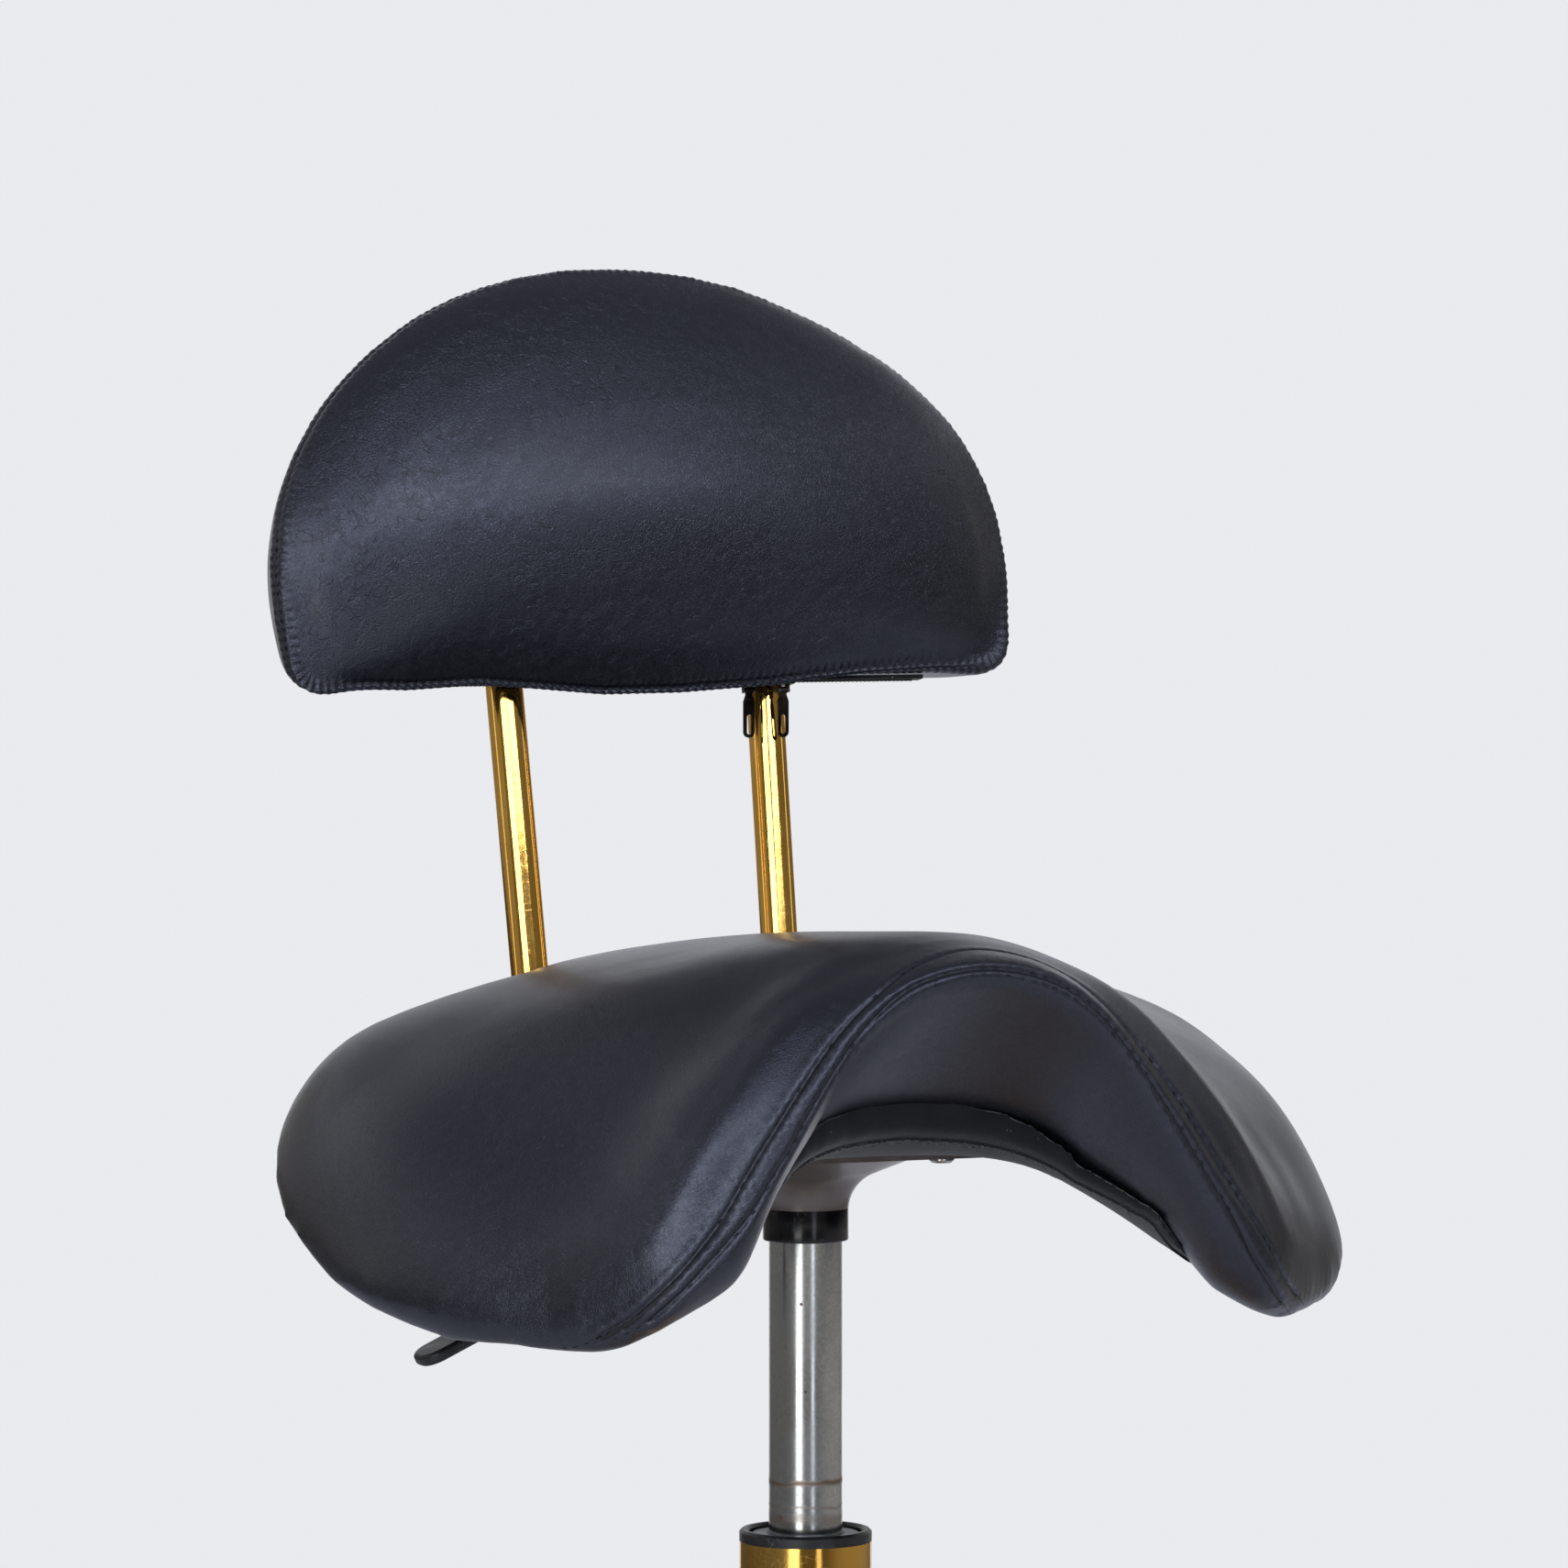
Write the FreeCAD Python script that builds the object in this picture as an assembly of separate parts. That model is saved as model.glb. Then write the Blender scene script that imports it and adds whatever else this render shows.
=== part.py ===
import FreeCAD, Part
import math
import os
from FreeCAD import Vector

# Salon stool: saddle seat on a gas lift, half-moon backrest on two leaning tubes, five-star base.
# Millimetres. Origin on the floor under the column axis, +Z up, the sitter faces -Y.

os.makedirs("parts", exist_ok=True)

# General values
OVERRUN = 1.0
SOFT_GAP = 0.3
RUN_GAP = 0.05
LOOSE_GAP = 0.4
FULL_TURN = 360.0
RIGHT_ANGLE = 90.0
PARALLEL = 1e-6
UP = Vector(0, 0, 1)
RIGHT = Vector(1, 0, 0)
BACK = Vector(0, 1, 0)

# Casters
CASTER_COUNT = 5
WHEEL_RADIUS = 25.0
WHEEL_WIDTH = 18.0
WHEEL_EDGE = 3.0
WHEEL_DISH_RADIUS = 18.0
WHEEL_DISH_DEPTH = 4.0
WHEEL_DISH_SLOPE = 2.0
WHEEL_BOSS_RADIUS = 6.5
WHEEL_SIDE_GAP = 0.5
CASTER_RING_RADIUS = 268.0
CASTER_TRAIL = 21.0
CASTER_HEADINGS = [62.0, -38.0, 118.0, 205.0, -75.0]
HOOD_GAP = 2.0
HOOD_WALL = 2.6
HOOD_WEB = 8.0
HOOD_SIDE_REACH = 1.2
HOOD_START_ANGLE = 22.0
HOOD_SWEEP = 180.0
HOOD_HUB_RADIUS = 10.0
HOOD_BOSS_RADIUS = 10.0
AXLE_RADIUS = 3.0
AXLE_RECESS = 1.5
STEM_RADIUS = 5.5
STEM_DEPTH = 19.0
STEM_FOOT = 11.0
STEM_COLLAR_RADIUS = 9.0
STEM_COLLAR_HEIGHT = 2.2
STEM_GROOVE_DEPTH = 0.6
STEM_GROOVE_HEIGHT = 2.0
STEM_TIP = 1.5

# Base star
FIRST_LEG_ANGLE = -90.0
LEG_END_BOTTOM = 62.0
LEG_END_HEIGHT = 24.0
LEG_END_WIDTH = 26.0
LEG_ROOT_HEIGHT = 44.0
LEG_ROOT_WIDTH = 40.0
LEG_ROOT_RISE = 4.0
LEG_ROOT_SINK = 8.0
LEG_WALL = 2.5
LEG_EDGE = 7.0
LEG_END_REACH = 16.0
SLEEVE_RADIUS = 9.0
LEG_NOSE = 5.0
HUB_RADIUS = 34.0
HUB_TOP = 132.0
HUB_BOTTOM = 62.0
HUB_EDGE = 2.5
HUB_COLLAR_RADIUS = 29.5
HUB_COLLAR_HEIGHT = 17.0

# Outer column
COLUMN_RADIUS = 25.2
COLUMN_WALL = 1.8
COLUMN_TAPER = 1.1
COLUMN_BOTTOM = 66.0
COLUMN_PLATE = 4.0
RING_HEIGHT = 4.5
RING_OPENING_RADIUS = 21.7
RING_SKIRT_DEPTH = 9.0
RING_EDGE = 1.0
BUSH_FACE_RADIUS = 20.1
BUSH_RECESS = 1.6
BUSH_LENGTH = 70.0
BUSH_MOUTH = 1.0

# Gas lift
CYLINDER_RADIUS = 14.0
CYLINDER_WALL = 2.0
CYLINDER_TOP_DROP = 21.0
CYLINDER_SHOWN = 126.0
CYLINDER_LENGTH_SHARE = 0.5
CYLINDER_HEAD = 22.0
CYLINDER_GLAND = 12.0
CYLINDER_CHAMFER = 1.5
SOCKET_TAPER = 0.4
ROD_RADIUS = 5.0
ROD_NECK_RADIUS = 3.6
ROD_TAIL = 5.0
PISTON_LENGTH = 12.0
PISTON_RISE = 106.5
CLIP_THICKNESS = 1.4
CLIP_RADIUS = 8.0
CLIP_SLOT = 4.0
RACE_THICKNESS = 2.2
RACE_RADIUS = 13.0
BALL_RADIUS = 2.0
BALL_COUNT = 8
BALL_CIRCLE_RADIUS = 9.2
BUMPER_RADIUS = 14.0
BUMPER_HEIGHT = 13.0
BUMPER_WAIST = 1.5
PIN_RADIUS = 4.5
PIN_REACH = 6.0
PIN_LENGTH = 30.0
PIN_EDGE = 0.8

# Seat mechanism
PAN_FLOOR_DROP = 86.0
SEAT_PLATE_SIZE = 118.0
SEAT_PLATE_THICKNESS = 2.5
SEAT_PLATE_CORNER = 12.0
PAN_BOLT_PITCH = 78.0
PAN_BOLT_RADIUS = 3.0
PAN_BOLT_HEAD_RADIUS = 4.8
PAN_BOLT_HEAD_HEIGHT = 3.2
PAN_BOLT_LENGTH = 11.5
PAN_BOLT_EDGE = 1.0
CONE_RIM_RADIUS = 46.0
CONE_RIM_HEIGHT = 1.0
CONE_RIM_RISE_SHARE = 0.38
CONE_NECK_RADIUS = 16.2
CONE_NECK_HEIGHT = 14.0
CONE_CAVITY_RADIUS = 9.0
CONE_CAVITY_ROOF = 2.5
GROOVE_RADIUS = 15.4
GROOVE_HEIGHT = 3.0
COLLAR_RADIUS = 16.0
COLLAR_TOP_DROP = 8.0
COLLAR_HEIGHT = 8.0
COLLAR_EDGE = 0.8
SOCKET_RADIUS = 15.0
SOCKET_LIP = 0.6
LUG_INNER = 15.0
LUG_OUTER = 35.0
LUG_WALL = 4.0
LUG_DEPTH = 16.0

# Height lever, on the sitter's right
LEVER_ROD_RADIUS = 3.5
LEVER_TIP_REACH = 1.0
LEVER_PIN_GAP = 0.3
LEVER_BEND_START = 62.0
LEVER_BEND_RADIUS = 20.0
LEVER_BEND_ANGLE = 42.0
LEVER_RUN = 68.0
LEVER_SIDE_GAP = 1.0
LEVER_DROP_GAP = 4.2
PIVOT_REACH = 26.0
PIVOT_RADIUS = 2.0
PADDLE_ANGLE = 25.0
PADDLE_LENGTH = 48.0
PADDLE_OVERLAP = 14.0
PADDLE_WIDTH = 19.0
PADDLE_THICKNESS = 4.6
PADDLE_EDGE = 1.6
PADDLE_BOSS_RADIUS = 6.2
PADDLE_BOSS_LENGTH = 22.0

# Saddle seat
SEAT_CREST = 597.0
SEAT_FRONT = 166.0
SEAT_REAR = 132.0
SEAT_HALF_WIDTH = 209.0
SEAT_DROP = 150.0
PAN_CREST_THICKNESS = 13.7
PAN_SHOULDER_THICKNESS = 6.0
PAN_EDGE_THICKNESS = 5.0
PAN_REAR_INSET = 14.0
HEM_CENTRE_REACH = 98.0
HEM_CORNER_X = 80.0
HEM_CORNER_REACH = 142.0
HEM_TIP_X = 132.0
HEM_TIP_REACH = 122.0
PAN_BOSS_HALF_WIDTH = 65.0
PAN_BOSS_FRONT = 64.0
PAN_BOSS_REAR = 114.0
PAN_BOSS_HEIGHT = 3.5
DUST_COVER_THICKNESS = 0.8
DUST_COVER_INSET = 6.0

# Backrest posts and their bracket
POST_RADIUS = 7.5
POST_WALL = 1.5
POST_HALF_SPACING = 52.45
POST_LEAN_ANGLE = 11.2
POST_SPLAY_ANGLE = 1.07
POST_BEND_RADIUS = 22.0
POST_RUN_START = 66.0
POST_FOOT_REACH = 137.5
POST_LENGTH = 306.0
BRACKET_PLATE = 3.0
BRACKET_HALF_WIDTH = 63.5
BRACKET_FRONT = 65.0
BRACKET_REAR = 114.0
BRACKET_CORNER = 6.0
STRAP_WALL = 2.0
STRAP_WIDTH = 11.0
STRAP_EAR = 12.0
STRAP_FIRST = 70.0
STRAP_PITCH = 24.0
SCREW_RADIUS = 2.0
SCREW_HEAD_RADIUS = 4.2
SCREW_HEAD_HEIGHT = 2.2

# Backrest
BACK_GRIP = 120.7
BACK_HEIGHT = 166.0
BACK_HALF_WIDTH = 157.0
BACK_BASE_HALF_WIDTH = 138.0
BACK_WIDEST_RISE = 38.0
BACK_FRONT_DEPTH = 44.0
BACK_REAR_DEPTH = 15.0
BOARD_THICKNESS = 9.0
BOARD_INSET = 12.0
BACK_SCREW_LOW = 34.0
BACK_SCREW_HIGH = 84.0
ZIP_HALF_LENGTH = 118.0
ZIP_WIDTH = 5.0
ZIP_THICKNESS = 1.6
ZIP_FORWARD = 15.0
SLIDER_LENGTH = 8.0
SLIDER_WALL = 0.7
SLIDER_FLOOR = 1.5
SLIDER_CENTRE = 50.0
SLIDER_SPREAD = 7.4
PULL_LENGTH = 19.0
PULL_WIDTH = 4.6
PULL_THICKNESS = 1.1
PULL_NECK_WIDTH = 2.8
PULL_NECK_LENGTH = 2.0
PULL_BARREL_RADIUS = 1.35
PULL_SLOT_WIDTH = 2.0
PULL_SLOT_LENGTH = 8.0
PULL_PIN_RADIUS = 0.7
PULL_LUG_WIDTH = 1.0
PULL_DROP = 2.0

# Worked out sizes
PAN_FLOOR = SEAT_CREST - PAN_FLOOR_DROP
PLATE_BOTTOM = PAN_FLOOR - SEAT_PLATE_THICKNESS
CYLINDER_TOP = PAN_FLOOR - CYLINDER_TOP_DROP
CYLINDER_LENGTH = SEAT_CREST * CYLINDER_LENGTH_SHARE
CYLINDER_BOTTOM = CYLINDER_TOP - CYLINDER_LENGTH
COLLAR_TOP = CYLINDER_TOP - COLLAR_TOP_DROP
COLLAR_BOTTOM = COLLAR_TOP - COLLAR_HEIGHT
PISTON_BOTTOM = CYLINDER_BOTTOM + PISTON_RISE
RING_TOP = CYLINDER_TOP - CYLINDER_SHOWN
COLUMN_INNER_RADIUS = COLUMN_RADIUS - COLUMN_WALL
TUBE_TOP = RING_TOP - RING_HEIGHT
SKIRT_BOTTOM = TUBE_TOP - RING_SKIRT_DEPTH
FLOOR_OF_COLUMN = COLUMN_BOTTOM + COLUMN_PLATE
BALL_LEVEL = FLOOR_OF_COLUMN + RACE_THICKNESS + BALL_RADIUS + RUN_GAP / 2
UPPER_RACE_BOTTOM = BALL_LEVEL + BALL_RADIUS + RUN_GAP / 2
ROD_SHOULDER = UPPER_RACE_BOTTOM + RACE_THICKNESS
PIN_TOP = CYLINDER_TOP + PIN_REACH
LEVER_LEVEL = PIN_TOP + LEVER_PIN_GAP + LEVER_ROD_RADIUS
HOOD_INNER_RADIUS = WHEEL_RADIUS + HOOD_GAP
HOOD_OUTER_RADIUS = HOOD_INNER_RADIUS + HOOD_WALL
STEM_COLLAR_BOTTOM = LEG_END_BOTTOM - STEM_COLLAR_HEIGHT
HOOD_TOP = STEM_COLLAR_BOTTOM - LOOSE_GAP
WHEEL_INNER_FACE = HOOD_WEB / 2 + WHEEL_SIDE_GAP
WHEEL_OUTER_FACE = WHEEL_INNER_FACE + WHEEL_WIDTH
POST_RUN_LEVEL = PAN_FLOOR - BRACKET_PLATE - POST_RADIUS
LEAN_RISE = math.tan(math.radians(POST_LEAN_ANGLE))
BACK_BOTTOM = POST_RUN_LEVEL + POST_LENGTH * math.cos(math.radians(POST_LEAN_ANGLE)) - BACK_GRIP
BACK_PLANE_REACH = POST_FOOT_REACH + (BACK_BOTTOM - POST_RUN_LEVEL) * LEAN_RISE
BOARD_FRONT = POST_RADIUS + BOARD_THICKNESS
SLIDER_WIDTH = ZIP_WIDTH + 2 * (RUN_GAP + SLIDER_WALL)
ZIP_BOTTOM = -SOFT_GAP - ZIP_THICKNESS
SLIDER_BOTTOM = ZIP_BOTTOM - RUN_GAP - SLIDER_FLOOR
PULL_AXIS_DROP = PULL_DROP - SLIDER_BOTTOM


# Small helpers
def save(name, shape):
    shape.exportStep("parts/" + name + ".step")


def turned(profile):
    # A solid of revolution about Z from (radius, height) corners.
    corners = [Vector(radius, 0, height) for radius, height in profile]
    face = Part.Face(Part.makePolygon(corners + corners[:1]))
    return face.revolve(Vector(0, 0, 0), UP, FULL_TURN)


def block(low_x, high_x, low_y, high_y, low_z, high_z):
    return Part.makeBox(high_x - low_x, high_y - low_y, high_z - low_z, Vector(low_x, low_y, low_z))


def rounded_block(low_x, high_x, low_y, high_y, low_z, high_z, corner):
    # A flat plate with its four upright edges rounded.
    plate = block(low_x, high_x, low_y, high_y, low_z, high_z)
    upright = [edge for edge in plate.Edges if edge.BoundBox.ZLength > (high_z - low_z) / 2]
    return plate.makeFillet(corner, upright)


def placed(shape, angle, radius=0.0):
    # A copy moved out along +X and turned about the column axis.
    copy = shape.copy()
    copy.translate(Vector(radius, 0, 0))
    copy.rotate(Vector(0, 0, 0), UP, angle)
    return copy


def fused(shapes):
    return shapes[0].multiFuse(shapes[1:]).removeSplitter()


def tangent_arc(start, way, end, flip=False):
    # An exact arc of under a half circle from start to end that leaves start along way.
    chord = end - start
    along = chord.dot(way)
    corner = start + way * (chord.dot(chord) / (2 * along))
    poles = [end, corner, start] if flip else [start, corner, end]
    curve = Part.BSplineCurve()
    curve.buildFromPolesMultsKnots(poles, [3, 3], [0, 1], False, 2, [1, along / chord.Length, 1])
    return curve.toShape()


def biarc(start, start_way, end, end_way):
    # Two arcs that meet tangentially between two points with given directions.
    chord = end - start
    across = chord.dot(start_way + end_way)
    bend = 2 * (1 - start_way.dot(end_way))
    if bend < PARALLEL:
        reach = chord.dot(chord) / (2 * across)
    else:
        reach = (math.sqrt(across * across + bend * chord.dot(chord)) - across) / bend
    joint = (start + start_way * reach + end - end_way * reach) * 0.5
    return [tangent_arc(start, start_way, joint), tangent_arc(end, end_way * -1, joint, True)]


def circular(edges):
    # The same arcs as true circles, for profiles that are turned.
    arcs = []
    for edge in edges:
        ends = [edge.valueAt(edge.FirstParameter), edge.valueAt(edge.LastParameter)]
        middle = edge.valueAt((edge.FirstParameter + edge.LastParameter) / 2)
        arcs.append(Part.Arc(ends[0], middle, ends[1]).toShape())
    return arcs


def line(start, end):
    return Part.LineSegment(start, end).toShape()


def mirrored(point):
    return Vector(-point.x, point.y, point.z)


# Casters
def caster_angle(index):
    return FIRST_LEG_ANGLE + index * FULL_TURN / CASTER_COUNT


def caster_place(shape, index):
    copy = shape.copy()
    copy.rotate(Vector(0, 0, 0), UP, CASTER_HEADINGS[index % len(CASTER_HEADINGS)])
    return placed(copy, caster_angle(index), CASTER_RING_RADIUS)


def caster_wheel(side):
    # A disc wheel with a rounded tread, a dished outer face and a centre boss.
    dish_floor = WHEEL_WIDTH - WHEEL_DISH_DEPTH
    bore = AXLE_RADIUS + RUN_GAP
    wheel = turned([
        (bore, 0),
        (WHEEL_RADIUS - WHEEL_EDGE, 0),
        (WHEEL_RADIUS, WHEEL_EDGE),
        (WHEEL_RADIUS, WHEEL_WIDTH - WHEEL_EDGE),
        (WHEEL_RADIUS - WHEEL_EDGE, WHEEL_WIDTH),
        (WHEEL_DISH_RADIUS, WHEEL_WIDTH),
        (WHEEL_DISH_RADIUS - WHEEL_DISH_SLOPE, dish_floor),
        (WHEEL_BOSS_RADIUS + WHEEL_DISH_SLOPE, dish_floor),
        (WHEEL_BOSS_RADIUS, WHEEL_WIDTH),
        (bore, WHEEL_WIDTH),
    ])
    wheel.rotate(Vector(0, 0, 0), RIGHT, -side * RIGHT_ANGLE)
    wheel.translate(Vector(CASTER_TRAIL, side * WHEEL_INNER_FACE, WHEEL_RADIUS))
    return wheel


def ring_sector(inner, outer, half_width, start, sweep):
    # A curved wall about the axle, from one angle above the rear over the top to the front.
    low = Vector(outer, -half_width, 0)
    corners = [Vector(inner, -half_width, 0), low, Vector(outer, half_width, 0), Vector(inner, half_width, 0)]
    face = Part.Face(Part.makePolygon(corners + corners[:1]))
    face.rotate(Vector(0, 0, 0), BACK, -start)
    wall = face.revolve(Vector(0, 0, 0), BACK, -sweep)
    wall.translate(Vector(CASTER_TRAIL, 0, WHEEL_RADIUS))
    return wall


def across_axle(radius, half_width):
    start = Vector(CASTER_TRAIL, -half_width, WHEEL_RADIUS)
    return Part.makeCylinder(radius, 2 * half_width, start, BACK)


def caster_hood():
    # Cover over both wheels, centre web, axle hub and the boss that turns on the stem.
    cover_half = WHEEL_OUTER_FACE + HOOD_SIDE_REACH
    cover = ring_sector(HOOD_INNER_RADIUS, HOOD_OUTER_RADIUS, cover_half, HOOD_START_ANGLE, HOOD_SWEEP)
    web = ring_sector(0, HOOD_INNER_RADIUS + HOOD_WALL / 2, HOOD_WEB / 2, HOOD_START_ANGLE, HOOD_SWEEP)
    hub = across_axle(HOOD_HUB_RADIUS, HOOD_WEB / 2)
    boss = Part.makeCylinder(HOOD_BOSS_RADIUS, HOOD_TOP - WHEEL_RADIUS, Vector(0, 0, WHEEL_RADIUS))
    wheel_room = across_axle(HOOD_INNER_RADIUS, cover_half + OVERRUN)
    wheel_room = wheel_room.cut(across_axle(HOOD_OUTER_RADIUS + OVERRUN, HOOD_WEB / 2))
    hood = fused([cover, web, hub, boss.cut(wheel_room)])
    stem_depth = STEM_FOOT + LOOSE_GAP
    stem_room = Part.makeCylinder(STEM_RADIUS + RUN_GAP, stem_depth + OVERRUN, Vector(0, 0, HOOD_TOP - stem_depth))
    return hood.cut(stem_room).cut(across_axle(AXLE_RADIUS, HOOD_WEB))


def caster_stem():
    # Steel pin pressed up into the leg: flange, snap groove and a tapered tip.
    groove_top = LEG_END_BOTTOM + STEM_DEPTH - STEM_TIP - STEM_GROOVE_HEIGHT
    groove_radius = STEM_RADIUS - STEM_GROOVE_DEPTH
    return turned([
        (0, STEM_COLLAR_BOTTOM - STEM_FOOT),
        (STEM_RADIUS, STEM_COLLAR_BOTTOM - STEM_FOOT),
        (STEM_RADIUS, STEM_COLLAR_BOTTOM),
        (STEM_COLLAR_RADIUS, STEM_COLLAR_BOTTOM),
        (STEM_COLLAR_RADIUS, LEG_END_BOTTOM),
        (STEM_RADIUS, LEG_END_BOTTOM),
        (STEM_RADIUS, groove_top - STEM_GROOVE_HEIGHT),
        (groove_radius, groove_top - STEM_GROOVE_HEIGHT),
        (groove_radius, groove_top),
        (STEM_RADIUS, groove_top),
        (STEM_RADIUS, LEG_END_BOTTOM + STEM_DEPTH - STEM_TIP),
        (STEM_RADIUS - STEM_TIP, LEG_END_BOTTOM + STEM_DEPTH),
        (0, LEG_END_BOTTOM + STEM_DEPTH),
    ])


# Base star
def wedge(start, end, way, depth):
    # A prism from the quadrilateral between two edges, each a pair of points.
    corners = [start[0], start[1], end[1], end[0]]
    return Part.Face(Part.makePolygon(corners + corners[:1])).extrude(way * depth)


def leg_body(root, tip, inset, drop):
    # The side outline crossed with the plan outline, with both upper edges rounded.
    root_bottom = HUB_BOTTOM + LEG_ROOT_RISE
    root_half = LEG_ROOT_WIDTH / 2 - inset
    tip_half = LEG_END_WIDTH / 2 - inset
    side_root = (Vector(root, -root_half, root_bottom - drop), Vector(root, -root_half, root_bottom + LEG_ROOT_HEIGHT - inset))
    side_tip = (Vector(tip, -root_half, LEG_END_BOTTOM - drop), Vector(tip, -root_half, LEG_END_BOTTOM + LEG_END_HEIGHT - inset))
    floor = LEG_END_BOTTOM - drop
    plan_root = (Vector(root, -root_half, floor), Vector(root, root_half, floor))
    plan_tip = (Vector(tip, -tip_half, floor), Vector(tip, tip_half, floor))
    body = wedge(side_root, side_tip, BACK, 2 * root_half).common(wedge(plan_root, plan_tip, UP, HUB_TOP))
    upper = [edge for edge in body.Edges if edge.BoundBox.XLength > (tip - root) / 2
             and edge.BoundBox.ZMin > LEG_END_BOTTOM + LEG_END_HEIGHT / 2]
    return body.makeFillet(LEG_EDGE - inset, upper)


def base_leg():
    # A pressed channel leg, open below, with a drilled sleeve for the caster stem near its end.
    root = HUB_RADIUS - LEG_ROOT_SINK
    tip = CASTER_RING_RADIUS + LEG_END_REACH
    shell = leg_body(root, tip, 0, 0)
    nose = [edge for edge in shell.Edges if edge.BoundBox.XMin > tip - PARALLEL and edge.BoundBox.ZLength > 0]
    shell = shell.makeFillet(LEG_NOSE, [edge for edge in nose if edge.BoundBox.YLength < PARALLEL])
    hollow = leg_body(root - OVERRUN, tip - LEG_WALL, LEG_WALL, OVERRUN)
    sleeve_top = LEG_END_BOTTOM + LEG_END_HEIGHT - LEG_WALL / 2
    sleeve = Part.makeCylinder(
        SLEEVE_RADIUS, sleeve_top - LEG_END_BOTTOM, Vector(CASTER_RING_RADIUS, 0, LEG_END_BOTTOM)
    )
    stem_room = Part.makeCylinder(
        STEM_RADIUS, STEM_DEPTH + LOOSE_GAP + OVERRUN, Vector(CASTER_RING_RADIUS, 0, LEG_END_BOTTOM - OVERRUN)
    )
    hub_room = Part.makeCylinder(HUB_RADIUS, 2 * HUB_TOP)
    return fused([shell.cut(hollow), sleeve]).cut(stem_room).cut(hub_room)


def column_radius_at(height):
    share = max(0.0, (HUB_TOP - height) / (HUB_TOP - COLUMN_BOTTOM))
    return COLUMN_RADIUS - COLUMN_TAPER * share


def base_hub():
    # Centre hub with a tapered bore that grips the outer column.
    collar_bottom = HUB_TOP - HUB_COLLAR_HEIGHT
    return turned([
        (column_radius_at(HUB_BOTTOM), HUB_BOTTOM),
        (HUB_RADIUS - HUB_EDGE, HUB_BOTTOM),
        (HUB_RADIUS, HUB_BOTTOM + HUB_EDGE),
        (HUB_RADIUS, collar_bottom - HUB_EDGE),
        (HUB_RADIUS - HUB_EDGE, collar_bottom),
        (HUB_COLLAR_RADIUS, collar_bottom),
        (HUB_COLLAR_RADIUS, HUB_TOP - HUB_EDGE),
        (HUB_COLLAR_RADIUS - HUB_EDGE, HUB_TOP),
        (column_radius_at(HUB_TOP), HUB_TOP),
    ])


# Outer column
def outer_column():
    bottom_radius = column_radius_at(COLUMN_BOTTOM)
    return turned([
        (ROD_NECK_RADIUS + RUN_GAP, COLUMN_BOTTOM),
        (bottom_radius, COLUMN_BOTTOM),
        (COLUMN_RADIUS, HUB_TOP),
        (COLUMN_RADIUS, TUBE_TOP),
        (COLUMN_INNER_RADIUS, TUBE_TOP),
        (COLUMN_INNER_RADIUS, HUB_TOP),
        (bottom_radius - COLUMN_WALL, FLOOR_OF_COLUMN),
        (ROD_NECK_RADIUS + RUN_GAP, FLOOR_OF_COLUMN),
    ])


def column_top_ring():
    return turned([
        (RING_OPENING_RADIUS, SKIRT_BOTTOM),
        (COLUMN_INNER_RADIUS, SKIRT_BOTTOM),
        (COLUMN_INNER_RADIUS, TUBE_TOP),
        (COLUMN_RADIUS, TUBE_TOP),
        (COLUMN_RADIUS, RING_TOP - RING_EDGE),
        (COLUMN_RADIUS - RING_EDGE, RING_TOP),
        (RING_OPENING_RADIUS + RING_EDGE, RING_TOP),
        (RING_OPENING_RADIUS, RING_TOP - RING_EDGE),
    ])


def guide_bush():
    top = RING_TOP - BUSH_RECESS
    bore = CYLINDER_RADIUS + RUN_GAP
    return turned([
        (bore, top - BUSH_LENGTH),
        (COLUMN_INNER_RADIUS, top - BUSH_LENGTH),
        (COLUMN_INNER_RADIUS, SKIRT_BOTTOM),
        (BUSH_FACE_RADIUS, SKIRT_BOTTOM),
        (BUSH_FACE_RADIUS, top),
        (bore + BUSH_MOUTH, top),
        (bore, top - BUSH_MOUTH),
    ])


# Thrust bearing and gas lift
def race(bottom, hole):
    return turned([
        (hole, bottom),
        (RACE_RADIUS, bottom),
        (RACE_RADIUS, bottom + RACE_THICKNESS),
        (hole, bottom + RACE_THICKNESS),
    ])


def thrust_balls():
    balls = []
    for index in range(BALL_COUNT):
        ball = Part.makeSphere(BALL_RADIUS, Vector(0, 0, BALL_LEVEL))
        balls.append(placed(ball, index * FULL_TURN / BALL_COUNT, BALL_CIRCLE_RADIUS))
    return Part.makeCompound(balls)


def bumper():
    # Rubber stop ring round the rod, waisted at mid height.
    top = ROD_SHOULDER + BUMPER_HEIGHT
    middle = ROD_SHOULDER + BUMPER_HEIGHT / 2
    return turned([
        (ROD_RADIUS, ROD_SHOULDER),
        (BUMPER_RADIUS, ROD_SHOULDER),
        (BUMPER_RADIUS - BUMPER_WAIST, middle),
        (BUMPER_RADIUS, top),
        (ROD_RADIUS, top),
    ])


def piston_rod():
    piston_radius = CYLINDER_RADIUS - CYLINDER_WALL - RUN_GAP
    return turned([
        (0, COLUMN_BOTTOM - ROD_TAIL),
        (ROD_NECK_RADIUS, COLUMN_BOTTOM - ROD_TAIL),
        (ROD_NECK_RADIUS, ROD_SHOULDER),
        (ROD_RADIUS, ROD_SHOULDER),
        (ROD_RADIUS, PISTON_BOTTOM),
        (piston_radius, PISTON_BOTTOM),
        (piston_radius, PISTON_BOTTOM + PISTON_LENGTH),
        (0, PISTON_BOTTOM + PISTON_LENGTH),
    ])


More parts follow.
